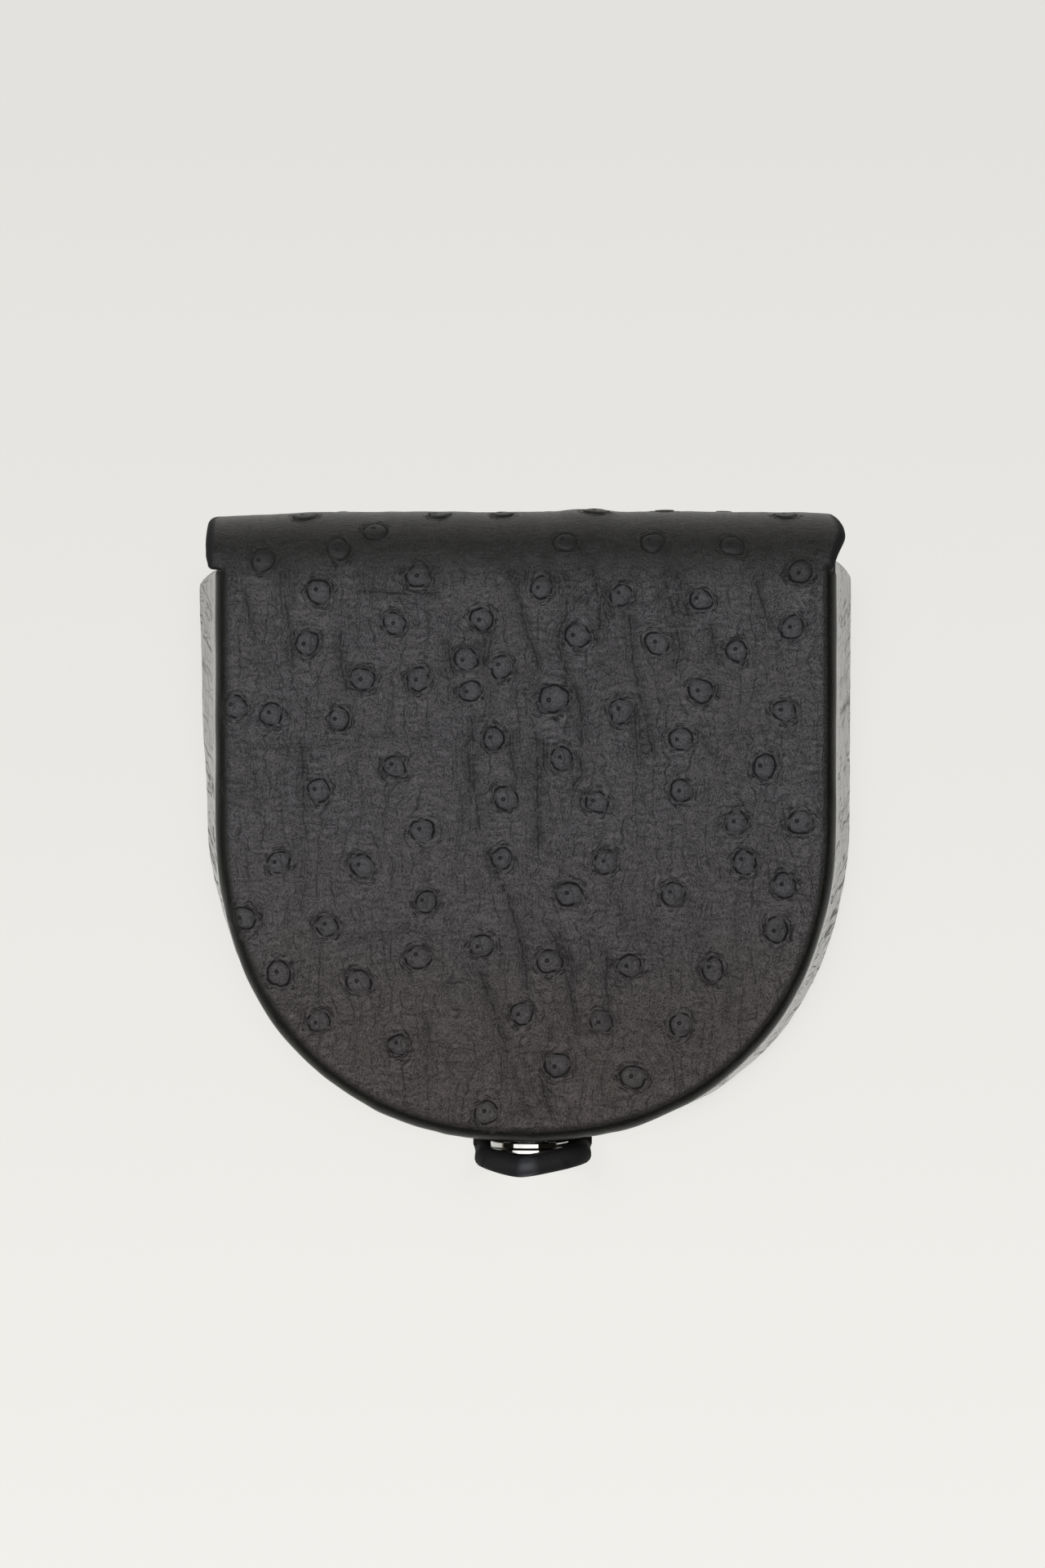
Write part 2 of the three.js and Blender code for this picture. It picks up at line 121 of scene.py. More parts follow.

# Creases of the face, charted along the flat pattern
CREASES = [
    [(-3.5, 38), (-2.3, 34.7), (-1.3, 32.4), (-0.5, 30), (-0.1, 27.6), (0.9, 24.9), (1.7, 23.3), (1.3, 21)],
    [(-3.5, 27.5), (-4.4, 25.5), (-4.8, 23.5), (-4.4, 21.5)],
    [(-6.4, 26.7), (-5.6, 24.2), (-4.6, 21)],
    [(-9.7, 27), (-9.6, 23.5), (-8.8, 20.5)],
    [(-6.8, 17.7), (-6.8, 15), (-6.4, 12), (-6.6, 8), (-5.8, 3), (-5.8, 1)],
    [(-7.6, 14.4), (-7.1, 9.5), (-6.7, 4.5)],
    [(-30, 38), (-30.4, 32.5), (-29.6, 27), (-29.2, 21.5)],
    [(-35.1, 33.6), (-35.3, 32), (-34.7, 28.7), (-33.9, 26)],
    [(-28.4, 14.5), (-27.9, 10.3), (-28, 6), (-27.3, 3.3)],
    [(-23.2, 28.3), (-23.4, 24.2), (-22.3, 18.5)],
    [(-1.9, 15.2), (-2.1, 12), (-1.2, 8.7), (-0.7, 6.6)],
    [(-0.2, 21), (0, 18.5)],
    [(2.8, 39), (2.9, 35.5), (3.2, 33.5), (3.6, 31.6)],
    [(0.5, 36.5), (-0.2, 33.5), (-0.5, 31.2)],
    [(7.2, 40), (8, 36), (8.7, 34), (9.1, 31.6), (9.4, 29), (9.3, 25)],
    [(4.2, 35.3), (5.2, 32.8), (5.2, 29), (4, 26.5), (4.4, 23.4), (6.2, 20), (7.1, 17), (7.1, 12.3)],
    [(8.1, 32.8), (5.8, 30)],
    [(13, 32), (13.1, 27), (13.6, 23), (14.4, 19), (15.3, 15), (16.1, 11)],
    [(9.5, 34.5), (10.2, 30.8), (11.6, 27.5)],
    [(17.6, 38.5), (17.8, 36), (17.4, 34), (18.2, 31.2), (19, 27.6), (19.4, 24.5), (18.8, 21.5)],
    [(19.6, 35.5), (19.6, 31), (20.8, 28)],
    [(23.3, 28.7), (23.7, 24.6), (24.7, 22)],
    [(28.6, 34.5), (30, 29.5), (31.1, 26.7)],
    [(13.8, 17.7), (13.8, 14.4), (14.2, 9.5)],
    [(6.6, 12), (7.3, 9.5), (6.2, 7.8), (5, 5.8)],
    [(2.3, 14.4), (2.1, 10.7), (3, 8)],
    [(1.3, 15), (1.5, 9.5), (1.5, 3), (1.7, -1)],
    [(-5.2, 0.4), (-3.5, -3.7), (-1.5, -8.6), (-0.2, -13.5), (0.4, -19.3)],
    [(-6.4, -14.3), (-4.8, -18.4), (-3.1, -23.4), (-2.1, -26.6)],
    [(2.5, -9.4), (4.2, -13), (5.4, -17), (6.2, -21), (6.6, -24.6)],
    [(3.8, -9.8), (5.2, -13.5), (6.4, -18.4)],
    [(10.3, -12), (10.1, -15.6), (10.3, -19.3), (10.5, -24.6)],
    [(1.7, -28.3), (2.5, -31.6), (3.4, -34.4)],
    [(-21.6, 32.2), (-15, 31.6), (-9.7, 31.9)],
]
FAINT_CREASES = [
    [(14.3, 39), (13.9, 35.5), (14.1, 32.5)],
    [(-29.2, 36.6), (-29, 32.5), (-29.5, 28.8)],
    [(-31.7, 38.2), (-31.5, 33.3), (-31.3, 28.4), (-31.1, 24.3)],
    [(-37.5, 31), (-36.6, 32.6), (-35.2, 33.7)],
    [(-37.3, 28.6), (-36.2, 30.6), (-34.8, 32)],
    [(-37.5, 25.4), (-36, 27.4), (-34.6, 28.2)],
    [(-37.5, 22), (-34, 23.2), (-31, 22.8)],
    [(-37.5, 12.2), (-32, 12.4), (-26, 12.4), (-21.6, 13.4), (-18, 13.8), (-10.6, 13.6)],
    [(-36.8, 14), (-35.2, 11.1), (-33.6, 7.9), (-33.1, 3.8)],
    [(-4.4, 21), (-4.5, 18), (-4.2, 15.5)],
    [(14.6, 29.6), (16.5, 31.2), (18.5, 32.3)],
    [(17.7, 24.3), (18.1, 21)],
    [(26.7, 14), (27.1, 11.1)],
    [(24, 13.8), (30, 14.2), (36, 14)],
    [(21.4, 16.4), (22.6, 13), (24.4, 9)],
    [(0.6, 24), (0.9, 21.5), (1.4, 17.5)],
    [(8.2, 21.2), (10.3, 23.6), (12.8, 25)],
    [(8.6, 24.4), (10.6, 21.4), (11.2, 19.6)],
    [(-28.3, 4), (-28.1, -4), (-28.4, -9)],
    [(-27.2, -10.8), (-26.8, -12), (-26, -13)],
    [(-23.7, -12.3), (-18.8, -11.2), (-14.7, -10.8), (-10.6, -11)],
    [(-13, -20), (-12.6, -23), (-12.2, -27.4)],
    [(-2.3, -27), (-0.7, -31), (0.1, -34.4)],
    [(6.8, -12.7), (7, -16.8)],
    [(10.3, -31.1), (11.6, -34)],
    [(14.8, -7.7), (16, -13.5)],
    [(19.8, -5.7), (21.4, -9.8), (23, -14.7)],
    [(10.7, -5.3), (12.8, -9.8), (13.6, -12.7)],
    [(3, -20.9), (3.4, -25)],
    [(1.7, -25), (1.9, -29)],
    [(27, -14), (25.4, -18), (24.6, -23)],
]
CREASE_DENT = 0.09
CREASE_DENT_REACH = 1.1
CREASE_REACH = 2.5  # a crease isn't felt further away than this
CREASE_FADE = 1.5  # and it fades out over this length at its ends
FAINT_CREASE = 0.55
CHART_TOP = CREASE_Y + 12
OTHER_CREASES = (0.7, 0.35)  # how much of the creases outside the chart shows, above its top and below

# Rounding of the cut edges
RIM_EDGE = 0.3
ROLL_EDGE = 0.92
FLAP_EDGE = 0.7
TONGUE_EDGE = 1.15
FLAP_INSET = 0.2  # the flap's edge stands in from the side wall's mouth by this
SHOULDER_DROP = 2.4  # the flap reaches its full width this far below the crease

# Quills, charted one by one: their middles in the photograph, as column and row of pixels
QUILLS_SEEN = [
    (320, 685), (413, 672), (511, 704), (691, 663), (800, 664), (899, 667), (981, 698), (389, 725),
    (664, 721), (760, 728), (857, 733), (481, 764), (588, 757), (972, 767), (377, 786), (707, 780),
    (803, 790), (901, 799), (570, 805), (617, 815), (443, 832), (513, 831), (576, 848), (856, 848),
    (287, 866), (331, 873), (415, 880), (763, 871), (959, 872), (603, 904), (836, 907), (485, 937),
    (690, 929), (935, 937), (393, 968), (620, 976), (730, 981), (834, 969), (516, 1018), (903, 1009),
    (980, 1007), (341, 1054), (443, 1062), (613, 1050), (741, 1057), (912, 1058), (962, 1085),
    (523, 1105), (697, 1097), (822, 1094), (300, 1122), (949, 1140), (398, 1132), (592, 1157),
    (671, 1178), (771, 1182), (874, 1189), (340, 1192), (510, 1172), (437, 1204), (638, 1243),
    (735, 1251), (832, 1257), (392, 1251), (490, 1279), (681, 1305), (775, 1317), (595, 1363),
    (370, 633), (535, 632), (617, 631), (730, 630), (967, 632), (457, 650),
]
FAINT_QUILLS_SEEN = [(580, 676), (281, 968), (559, 1216), (566, 1299), (640, 1372)]
LARGE_QUILLS_SEEN = [(677, 857)]
PIXEL = 0.1026  # millimetres of the face in one pixel of the 1280 by 1920 picture
SEEN_CREASE = (644, 697)  # the pixel at the middle of the crease below the roll
SEEN_RISE = 1.01  # the roll looks lower than it is by this
QUILL_RADIUS = 1.32
QUILL_RISE = 0.24
QUILL_RINGS = [
    (0.3, 8), (0.58, 12), (0.8, 18), (0.9, 20), (0.98, 22), (1.06, 22), (1.14, 22),
    (1.25, 20), (1.37, 20), (1.52, 18), (1.76, 16),
]
QUILL_SPACING = 7.4  # least distance of the quills that aren't in the chart
QUILL_MARGIN = 2.2  # and their least distance from the pattern's edge
QUILL_TRIES = 6000
QUILL_REACH = 5.5  # a quill turns the grain round it up to this many of its radii
PORE_POINTS = 6
PORE_RADIUS = 0.13

# Mesh fineness
FACE_STEP = 0.62
FLAP_STEP = 0.95
INNER_STEP = 2.2
OUTLINE_STEP = 0.55
OUTLINE_LEAST = 0.12  # closer outline points are left out
NOTCH_STEP = 0.3
TONGUE_STEP = 0.4
OUTER_RINGS = (0.08, 0.3, 0.62, 1.0, 1.3)  # of points inside the cut edges, in shares of their rounding
INNER_RINGS = (0.3, 1.0)
PATTERN_HALF_WIDTH = 44
PATTERN_BOTTOM = FACE_BOTTOM_Y - 4
FINE_TOP = CREASE_Y + 14  # the face's fine mesh goes this far over the roll
RIM_BAND = (-3.3, 2.2)  # the mesh follows the rim from here to here, measured out from its side
RIM_BAND_STEPS = (0.5, 0.36)  # along the rim and across it
CREASE_STEP = 0.45
CREASE_SIDE = 0.32  # the mesh follows each charted crease at this distance, on both sides
FLAP_SEAT = 0.36  # the flap's leather stands off the table by this, so that its quills fit


def smooth(low, high, value):
    """Smooth step from 0 at low to 1 at high."""
    share = np.clip((value - low) / (high - low), 0, 1)
    return share * share * (3 - 2 * share)


def read_table(rows, value):
    """Value of a table at each place, with smooth steps between its rows."""
    value = np.asarray(value, float)
    result = np.full(value.shape, float(rows[0][1]))
    for (low, before), (high, after) in zip(rows, rows[1:]):
        result += (after - before) * smooth(low, high, value)
    return result


def unit(vectors):
    """The vectors' directions."""
    return vectors / np.linalg.norm(vectors, axis=1)[:, None]


def way_along(points):
    """Length of a line up to each of its points."""
    return np.concatenate([[0], np.cumsum(np.linalg.norm(np.diff(points, axis=0), axis=1))])


def with_zero(points):
    """Flat points with a third part of 0."""
    return np.column_stack([points, np.zeros(len(points))])


# The rim's outline, from its top right corner round the bottom to its top left corner

def rim_outline():
    """Places and outward directions of the rim's stations."""
    side = np.linspace(RIM_TOP_Y, ROUND_Y, 120, endpoint=False)
    right = np.column_stack([np.full(side.shape, FACE_HALF_WIDTH), side])
    angle = np.linspace(0, math.pi, 520)
    power = 2 / FACE_SQUARENESS
    across = np.sign(np.cos(angle)) * np.abs(np.cos(angle)) ** power
    down = np.abs(np.sin(angle)) ** power
    arch = np.column_stack([FACE_HALF_WIDTH * across, ROUND_Y - FACE_ROUND_HEIGHT * down])
    steep = np.column_stack([
        np.sign(across) * np.abs(across) ** (FACE_SQUARENESS - 1) / FACE_HALF_WIDTH,
        -(down ** (FACE_SQUARENESS - 1)) / FACE_ROUND_HEIGHT,
    ])
    ahead = np.tile([1.0, 0.0], (len(side), 1))
    mirror = np.array([-1, 1])
    place = np.vstack([right, arch, (right * mirror)[::-1]])
    return place, np.vstack([ahead, unit(steep), ahead * mirror])


RIM_PLACE, RIM_OUT = rim_outline()
RIM_LENGTH = way_along(RIM_PLACE)
RIM_ALONG = RIM_LENGTH / RIM_LENGTH[-1]


def nearest(points, targets, chunk=1500):
    """Index of the target nearest to each point, and its distance."""
    index = np.empty(len(points), int)
    distance = np.empty(len(points))
    for start in range(0, len(points), chunk):
        part = points[start:start + chunk]
        square = ((part[:, None, :] - targets[None, :, :]) ** 2).sum(2)
        index[start:start + chunk] = square.argmin(1)
        distance[start:start + chunk] = np.sqrt(square.min(1))
    return index, distance


def rim_at(at):
    """Place, outward direction and share of the way of the rim at fractional station numbers."""
    steps = np.arange(len(RIM_PLACE))
    place = np.column_stack([np.interp(at, steps, RIM_PLACE[:, k]) for k in (0, 1)])
    out = np.column_stack([np.interp(at, steps, RIM_OUT[:, k]) for k in (0, 1)])
    return place, unit(out), np.interp(at, steps, RIM_ALONG)


def rim_beside(points):
    """Outward direction and share of the way of the rim beside each point, and the point's distance out."""
    index, _ = nearest(points, RIM_PLACE)
    tangent = np.gradient(RIM_PLACE, axis=0)[index]
    slide = ((points - RIM_PLACE[index]) * tangent).sum(1) / (tangent ** 2).sum(1)
    place, out, along = rim_at(np.clip(index + np.clip(slide, -1, 1), 0, len(RIM_PLACE) - 1))
    return out, along, ((points - place) * out).sum(1)


# Ways along the flat pattern: its face lies at its own places, and the roll, the flap
# and the tongue follow above the crease by their lengths along the leather

ROLL_ANGLES = np.linspace(0, math.pi, 600)
ROLL_ARC = way_along(np.column_stack([ROLL_HEIGHT * np.sin(ROLL_ANGLES), DEPTH / 2 * np.cos(ROLL_ANGLES)]))
ROLL_LENGTH = ROLL_ARC[-1]
FLAP_V = CREASE_Y + ROLL_LENGTH
BEND_V = FLAP_V + CREASE_Y - BEND_Y
UP_V = BEND_V + TONGUE_BEND * math.pi / 2
TIP_V = UP_V + TONGUE_TIP_Z - TONGUE_BEND
RUB_AND_HIGHLIGHT_AT = (TONGUE_X + TONGUE_PEAK + 1.0, TIP_V - 0.2)  # worn glossy spot at the tongue's tip, lighter in colour as a painted highlight


def lay_face(flat):
    """Face and rim: flat inside the rim's rounding, then round it and down."""
    out, along, ahead = rim_beside(flat)
    radius = read_table(RIM_RADII, along)
    past = ahead + radius
    bend = np.clip(past / radius, 0, math.pi / 2)
    reach = np.minimum(past, 0) - radius + radius * np.sin(bend)
    drop = radius * (1 - np.cos(bend)) + np.maximum(past - radius * math.pi / 2, 0)
    turned = flat + out * (reach - ahead)[:, None]
    normal = np.column_stack([out * np.sin(bend)[:, None], np.cos(bend)])
    return np.column_stack([turned, DEPTH - drop]), normal


def lay_roll(flat):
    """Hinge roll: half an ellipse from the face over the top to the flap.
    Its ends start with the rim's slope and untwist above the notch."""
    u, v = flat.T
    angle = np.interp(v - CREASE_Y, ROLL_ARC, ROLL_ANGLES)
    radius = RIM_RADII[0][1]
    past = np.maximum(np.minimum(np.abs(u), NOTCH_U) - FACE_HALF_WIDTH + radius, 0)
    bend = past / radius
    twist = 1 - smooth(0, TWIST_HEIGHT, v - CREASE_Y)
    draw_in = np.sign(u) * (past - radius * np.sin(bend)) * twist
    y = CREASE_Y + ROLL_HEIGHT * np.sin(angle)
    place = np.column_stack([u - draw_in, y, DEPTH / 2 * (1 + np.cos(angle))])
    square = [np.zeros(len(flat)), DEPTH / 2 * np.sin(angle), ROLL_HEIGHT * np.cos(angle)]
    normal = unit(np.column_stack(square))
    swell = read_table(ROLL_SWELL, u) * np.sin(angle) ** 2 - radius * (1 - np.cos(bend)) * twist
    return place + normal * swell[:, None], normal


def turned_back(points):
    """Points of the flap from the pattern to the purse's back, or from there to the pattern."""
    return np.column_stack([points[:, 0], CREASE_Y + FLAP_V - points[:, 1]])


def lay_flap(flat):
    """Back flap: flat on the table, facing down."""
    return with_zero(turned_back(flat)), np.tile([0.0, 0.0, -1.0], (len(flat), 1))


def lay_tongue(flat):
    """Tongue: round its bend and up the bottom of the gusset, bowed across its width."""
    u, v = flat.T
    turn = np.clip((v - BEND_V) / TONGUE_BEND, 0, math.pi / 2)
    from_peak = u - TONGUE_X - TONGUE_PEAK
    slope = np.where(from_peak < 0, *TONGUE_SLOPES) * smooth(*TONGUE_BOW_TURN, turn)
    far = np.hypot(from_peak, TONGUE_PEAK_ROUND)
    y = BEND_Y - TONGUE_BEND * np.sin(turn) + slope * (far - TONGUE_PEAK_ROUND)
    place = np.column_stack([u, y, TONGUE_BEND * (1 - np.cos(turn)) + np.maximum(v - UP_V, 0)])
    normal = np.column_stack([slope * from_peak / far * np.sin(turn), -np.sin(turn), -np.cos(turn)])
    return place, unit(normal)


def lay(flat, height):
    """Places of pattern points in the purse, raised by a height above the outer face."""
    v = flat[:, 1]
    place = np.zeros((len(flat), 3))
    normal = np.zeros((len(flat), 3))
    zones = [
        (v <= CREASE_Y, lay_face),
        ((v > CREASE_Y) & (v <= FLAP_V), lay_roll),
        ((v > FLAP_V) & (v <= BEND_V), lay_flap),
        (v > BEND_V, lay_tongue),
    ]
    for zone, shape in zones:
        if zone.any():
            place[zone], normal[zone] = shape(flat[zone])
    return place + normal * height[:, None]


def rim_burnish_and_shade(flat):
    """How much of the rim's smooth burnish and painted shade each point has: none on the flat of the face,
    all on the rim's side, and part of it over the roll.
    """
    u, v = flat.T
    _, along, ahead = rim_beside(flat)
    share = smooth(*RIM_BURNISH_AND_SHADE, ahead / read_table(RIM_RADII, along) + 1) * (v < CREASE_Y)
    ends = smooth(*RIM_BURNISH_AND_SHADE, (np.abs(u) - FACE_HALF_WIDTH) / RIM_RADII[0][1] + 1)
    on_roll = (v >= CREASE_Y) * (1 - smooth(0, TWIST_HEIGHT, v - CREASE_Y))
    roll = smooth(CREASE_Y - 3, CREASE_Y + 2, v) * (1 - smooth(FLAP_V - 8, FLAP_V, v))
    return np.maximum(share + ends * on_roll, ROLL_BURNISH_AND_SHADE * roll)


def leather_thickness(v):
    """Thickness of the wrap's leather: the tongue is thicker past its bend."""
    return LEATHER + (TONGUE_LEATHER - LEATHER) * smooth(BEND_V, UP_V, v)


def flap_seat(v):
    """How far the leather is drawn in where it lies on the table."""
    return FLAP_SEAT * smooth(FLAP_V - 4, FLAP_V + 1, v) * (1 - smooth(BEND_V, UP_V, v))


def rounded_line(line):
    """Open line with its corners cut twice."""
    line = np.array(line, float)
    for _ in range(2):
        before, after = line[:-1], line[1:]
        cut = np.stack([0.75 * before + 0.25 * after, 0.25 * before + 0.75 * after], axis=1)
        line = np.vstack([line[:1], cut.reshape(-1, 2), line[-1:]])
    return line


def crease_field(flat):
    """Each point's signed distance to its nearest charted crease, how much of that crease shows,
    and how much of the creases outside the chart does."""
    apart = np.full(len(flat), FAR)
    shown = np.zeros(len(flat))
    for number, line in enumerate(map(rounded_line, CREASES + FAINT_CREASES)):
        strength = 1.0 if number < len(CREASES) else FAINT_CREASE
        ways = way_along(line)
        middle = (line.min(0) + line.max(0)) / 2
        near = np.nonzero((np.abs(flat - middle) < np.ptp(line, axis=0) / 2 + CREASE_REACH).all(1))[0]
        for start, step, way, after in zip(line, np.diff(line, axis=0), ways, ways[1:]):
            length = after - way
            share = np.clip((flat[near] - start) @ step / length ** 2, 0, 1)
            gap = flat[near] - start - share[:, None] * step
            far = np.hypot(gap[:, 0], gap[:, 1])
            side = np.sign(step[0] * gap[:, 1] - step[1] * gap[:, 0])
            at = way + share * length
            closer = far < np.abs(apart[near])
            own = near[closer]
            apart[own] = (side * far)[closer]
            shown[own] = strength * smooth(0, CREASE_FADE, np.minimum(at, ways[-1] - at))[closer]
    shown *= 1 - smooth(0.9, 1.8, np.abs(apart))
    others = np.where(flat[:, 1] > CHART_TOP, *OTHER_CREASES)
    return np.column_stack([apart, shown, others])


# Outline of the flat pattern

def resample(points, step=OUTLINE_STEP):
    """Points at even steps along an open line, without its last point."""
    points = np.asarray(points, float)
    length = way_along(points)
    at = np.linspace(0, length[-1], max(1, round(length[-1] / step)), endpoint=False)
    return np.column_stack([np.interp(at, length, points[:, k]) for k in (0, 1)])


def curve(start, control, end, steps=12):
    """Points of a quadratic curve."""
    share = np.linspace(0, 1, steps)[:, None]
    start, control, end = (np.asarray(p, float) for p in (start, control, end))
    return (1 - share) ** 2 * start + 2 * share * (1 - share) * control + share ** 2 * end


def flap_edge():
    """Edge of the flap in the pattern, from its top right corner to its top left corner."""
    return turned_back(RIM_PLACE + RIM_OUT * (read_table(MOUTH_FLARE, RIM_ALONG)[:, None] - FLAP_INSET))


def rim_edge():
    """Edge of the turned rim in the pattern, from its top right corner to its top left corner."""
    radius = read_table(RIM_RADII, RIM_ALONG)
    allowance = radius * (math.pi / 2 - 1) + DEPTH - radius - RIM_END_Z
    return RIM_PLACE + RIM_OUT * allowance[:, None]


def half_outline(sign, roll_widths):
    """One side's outline from the middle of the face's bottom to the middle of the tongue's tip,
    with the rounding of its edge. The sign is 1 on the right and -1 on the left."""
    rim = rim_edge()
    flap = flap_edge()
    middle = len(rim) // 2
    rim, flap = (rim[middle::-1], flap[:middle]) if sign > 0 else (rim[middle:], flap[:middle:-1])
    rim = rim[rim[:, 1] < CREASE_Y - NOTCH_HEIGHT]
    width = roll_widths[0][1]
    notch = np.array([
        (NOTCH_U, CREASE_Y - NOTCH_HEIGHT / 2), (NOTCH_U, CREASE_Y),
        (width - 0.3, CREASE_Y + 0.1), (width, CREASE_Y + ROLL_CORNER),
    ])
    notch = np.vstack([rim[-1:], notch * (sign, 1)])
    share = np.linspace(0.02, 1, 80)
    roll = np.column_stack([
        sign * read_table(roll_widths, share),
        CREASE_Y + ROLL_CORNER + share * (ROLL_LENGTH - ROLL_CORNER),
    ])
    below = flap[:, 1] > FLAP_V + SHOULDER_DROP
    outside = np.abs(flap[:, 0] - TONGUE_X) > TONGUE_HALF_WIDTH + TONGUE_FILLET
    flap = flap[below & outside]
    shoulder = curve(roll[-1], (flap[0][0], FLAP_V), flap[0])
    tongue_u = TONGUE_X + sign * TONGUE_HALF_WIDTH
    flap_v = flap[-1][1]
    fillet = curve(flap[-1], (tongue_u, flap_v + 0.4), (tongue_u, flap_v + TONGUE_FILLET))
    angle = np.linspace(0, math.pi / 2, 16)
    tip = np.column_stack([
        tongue_u - sign * TONGUE_TIP_RADIUS * (1 - np.cos(angle)),
        TIP_V - TONGUE_TIP_RADIUS * (1 - np.sin(angle)),
    ])
    end = resample(np.vstack([fillet[-1:], tip, [[TONGUE_X, TIP_V]]]), TONGUE_STEP)
    arch = ((end[:, 0] - TONGUE_X) / TONGUE_HALF_WIDTH) ** 2 * smooth(UP_V, TIP_V, end[:, 1])
    end[:, 1] -= TONGUE_TIP_ARCH * arch
    return [
        (resample(rim), RIM_EDGE),
        (resample(notch, NOTCH_STEP), RIM_EDGE),
        (resample(np.vstack([notch[-1:], roll])), ROLL_EDGE),
        (resample(shoulder), FLAP_EDGE),
        (resample(flap), FLAP_EDGE),
        (resample(fillet, TONGUE_STEP), FLAP_EDGE),
        (end, TONGUE_EDGE),
    ]


def pattern_outline():
    """Closed outline of the pattern, anticlockwise, with the rounding of its edge."""
    right = half_outline(1, ROLL_RIGHT)
    left = half_outline(-1, ROLL_LEFT)
    tip = np.array([[TONGUE_X, TIP_V]])
    pieces = right + [(tip, TONGUE_EDGE)] + [(points[::-1], edge) for points, edge in left[::-1]]
    outline = np.vstack([points for points, _ in pieces])
    rounding = np.concatenate([np.full(len(points), edge) for points, edge in pieces])
    keep = np.linalg.norm(outline - np.roll(outline, 1, axis=0), axis=1) > OUTLINE_LEAST
    outline, rounding = outline[keep], rounding[keep]
    for _ in range(6):
        rounding = (np.roll(rounding, 1) + 2 * rounding + np.roll(rounding, -1)) / 4
    return outline, rounding


def inward(outline):
    """Directions into the pattern, square to its anticlockwise outline."""
    tangent = np.roll(outline, -1, axis=0) - np.roll(outline, 1, axis=0)
    return unit(np.column_stack([-tangent[:, 1], tangent[:, 0]]))


def inside(points, outline):
    """Whether each point lies inside a closed outline."""
    result = np.zeros(len(points), bool)
    for (ua, va), (ub, vb) in zip(outline, np.roll(outline, -1, axis=0)):
        crosses = (va > points[:, 1]) != (vb > points[:, 1])
        if va != vb:
            at = ua + (points[:, 1] - va) * (ub - ua) / (vb - va)
            result ^= crosses & (points[:, 0] < at)
    return result


# Quills and grain

def seen_places(seen):
    """Places on the flat pattern, to half a millimetre and from the top down, of quills seen at pixels."""
    u, v = ((np.array(seen) - SEEN_CREASE) * (PIXEL, -PIXEL)).T
    turns = np.linspace(0, math.pi / 2, 600)
    arc = way_along(np.column_stack([ROLL_RISE * np.sin(turns), DEPTH / 2 * np.cos(turns)]))
    over_roll = np.interp(np.arcsin(np.clip(SEEN_RISE * v / ROLL_RISE, 0, 0.999)), turns, arc)
    places = np.round(2 * np.column_stack([u, CREASE_Y + np.where(v > 0, over_roll, v)])) / 2
    return sorted(places.tolist(), key=lambda place: place[::-1], reverse=True)


def quill_table(rng, outline):
    """All quills: u, v, radius, rise, wobble phases, and the pore's offset."""
    places = [(u, v, 1.0, 1.0) for u, v in seen_places(QUILLS_SEEN)]
    places += [(u, v, 1.0, 0.35) for u, v in seen_places(FAINT_QUILLS_SEEN)]
    places += [(u, v, 1.3, 1.0) for u, v in seen_places(LARGE_QUILLS_SEEN)]
    tries = np.column_stack([
        rng.uniform(-42, 42, QUILL_TRIES),
        rng.uniform(CREASE_Y + 13, BEND_V - 2, QUILL_TRIES),
    ])
    fits = inside(tries, outline) & (nearest(tries, outline)[1] > QUILL_MARGIN)
    for u, v in tries[fits]:
        if min(math.hypot(u - row[0], v - row[1]) for row in places) > QUILL_SPACING:
            places.append((u, v, 1.0, rng.uniform(0.6, 1.0)))
    rows = []
    for u, v, size, strength in places:
        rows.append((
            u, v,
            QUILL_RADIUS * size * rng.uniform(0.92, 1.1),
            QUILL_RISE * strength,
            rng.uniform(0, 2 * math.pi),
            rng.uniform(0, 2 * math.pi),
            rng.uniform(-0.42, -0.12),
            rng.uniform(-0.15, 0.3),
        ))
    return rows


def bell(value, centre, width):
    return np.exp(-(((value - centre) / width) ** 2))


def quill_wobble(angle, turn, phase):
    """How far a quill's outline leaves a circle at an angle round it."""
    return 1 + 0.06 * np.cos(2 * angle + turn) + 0.035 * np.cos(3 * angle + phase)


def quill_field(flat, quills):
    """Relief of the quills, each point's place on its quill and pore, and the grain's flow.
    Lengths on a quill are in shares of its radius."""
    count = len(flat)
    height = np.zeros(count)
    shift = np.zeros(count)
    closest = np.full(count, FAR)
    second = np.full(count, FAR)
    on_quill = np.tile([FAR, 0.0, 0.0], (count, 1))
    on_pore = np.tile([FAR, 0.0, 0.0], (count, 1))
    for u, v, radius, rise, turn, phase, pore_u, pore_v in quills:
        near = np.nonzero((np.abs(flat - (u, v)) < QUILL_REACH * radius).all(1))[0]
        du, dv = (flat[near] - (u, v)).T
        angle = np.arctan2(dv, du)
        far = np.hypot(du, dv) / (radius * quill_wobble(angle, turn, phase))
        strength = rise / QUILL_RISE
        from_pore = np.column_stack([du / radius - pore_u, dv / radius - pore_v])
        to_pore = np.hypot(from_pore[:, 0], from_pore[:, 1])
        height[near] += rise * (0.7 * (1 - smooth(0.84, 1.02, far)) + 0.3 * np.maximum(1 - far ** 2, 0))
        height[near] += strength * (0.05 * bell(far, 1.22, 0.1) - 0.05 * bell(far, 1.06, 0.07))
        height[near] += strength * (0.02 * bell(to_pore, 0.28, 0.09) - 0.06 * bell(to_pore, 0, 0.13))
        round_it = np.minimum(1, (1.25 / np.maximum(far, 0.01)) ** 2)
        shift[near] -= du * round_it * smooth(0.7, 1.0, far) * (1 - smooth(3.2, 5.4, far))
        closer = far < closest[near]
        own = near[closer]
        second[near] = np.where(closer, closest[near], np.minimum(second[near], far))
        closest[own] = far[closer]
        on_quill[own, :2] = np.column_stack([far * np.cos(angle), far * np.sin(angle)])[closer]
        on_quill[own, 2] = strength
        on_pore[own, :2] = from_pore[closer]
    on_quill[:, 2] *= (1 - smooth(1.8, 2.4, closest)) * smooth(0.4, 1.4, second - closest)
    return height, on_quill, on_pore, np.column_stack([flat[:, 0] + shift, flat[:, 1]])


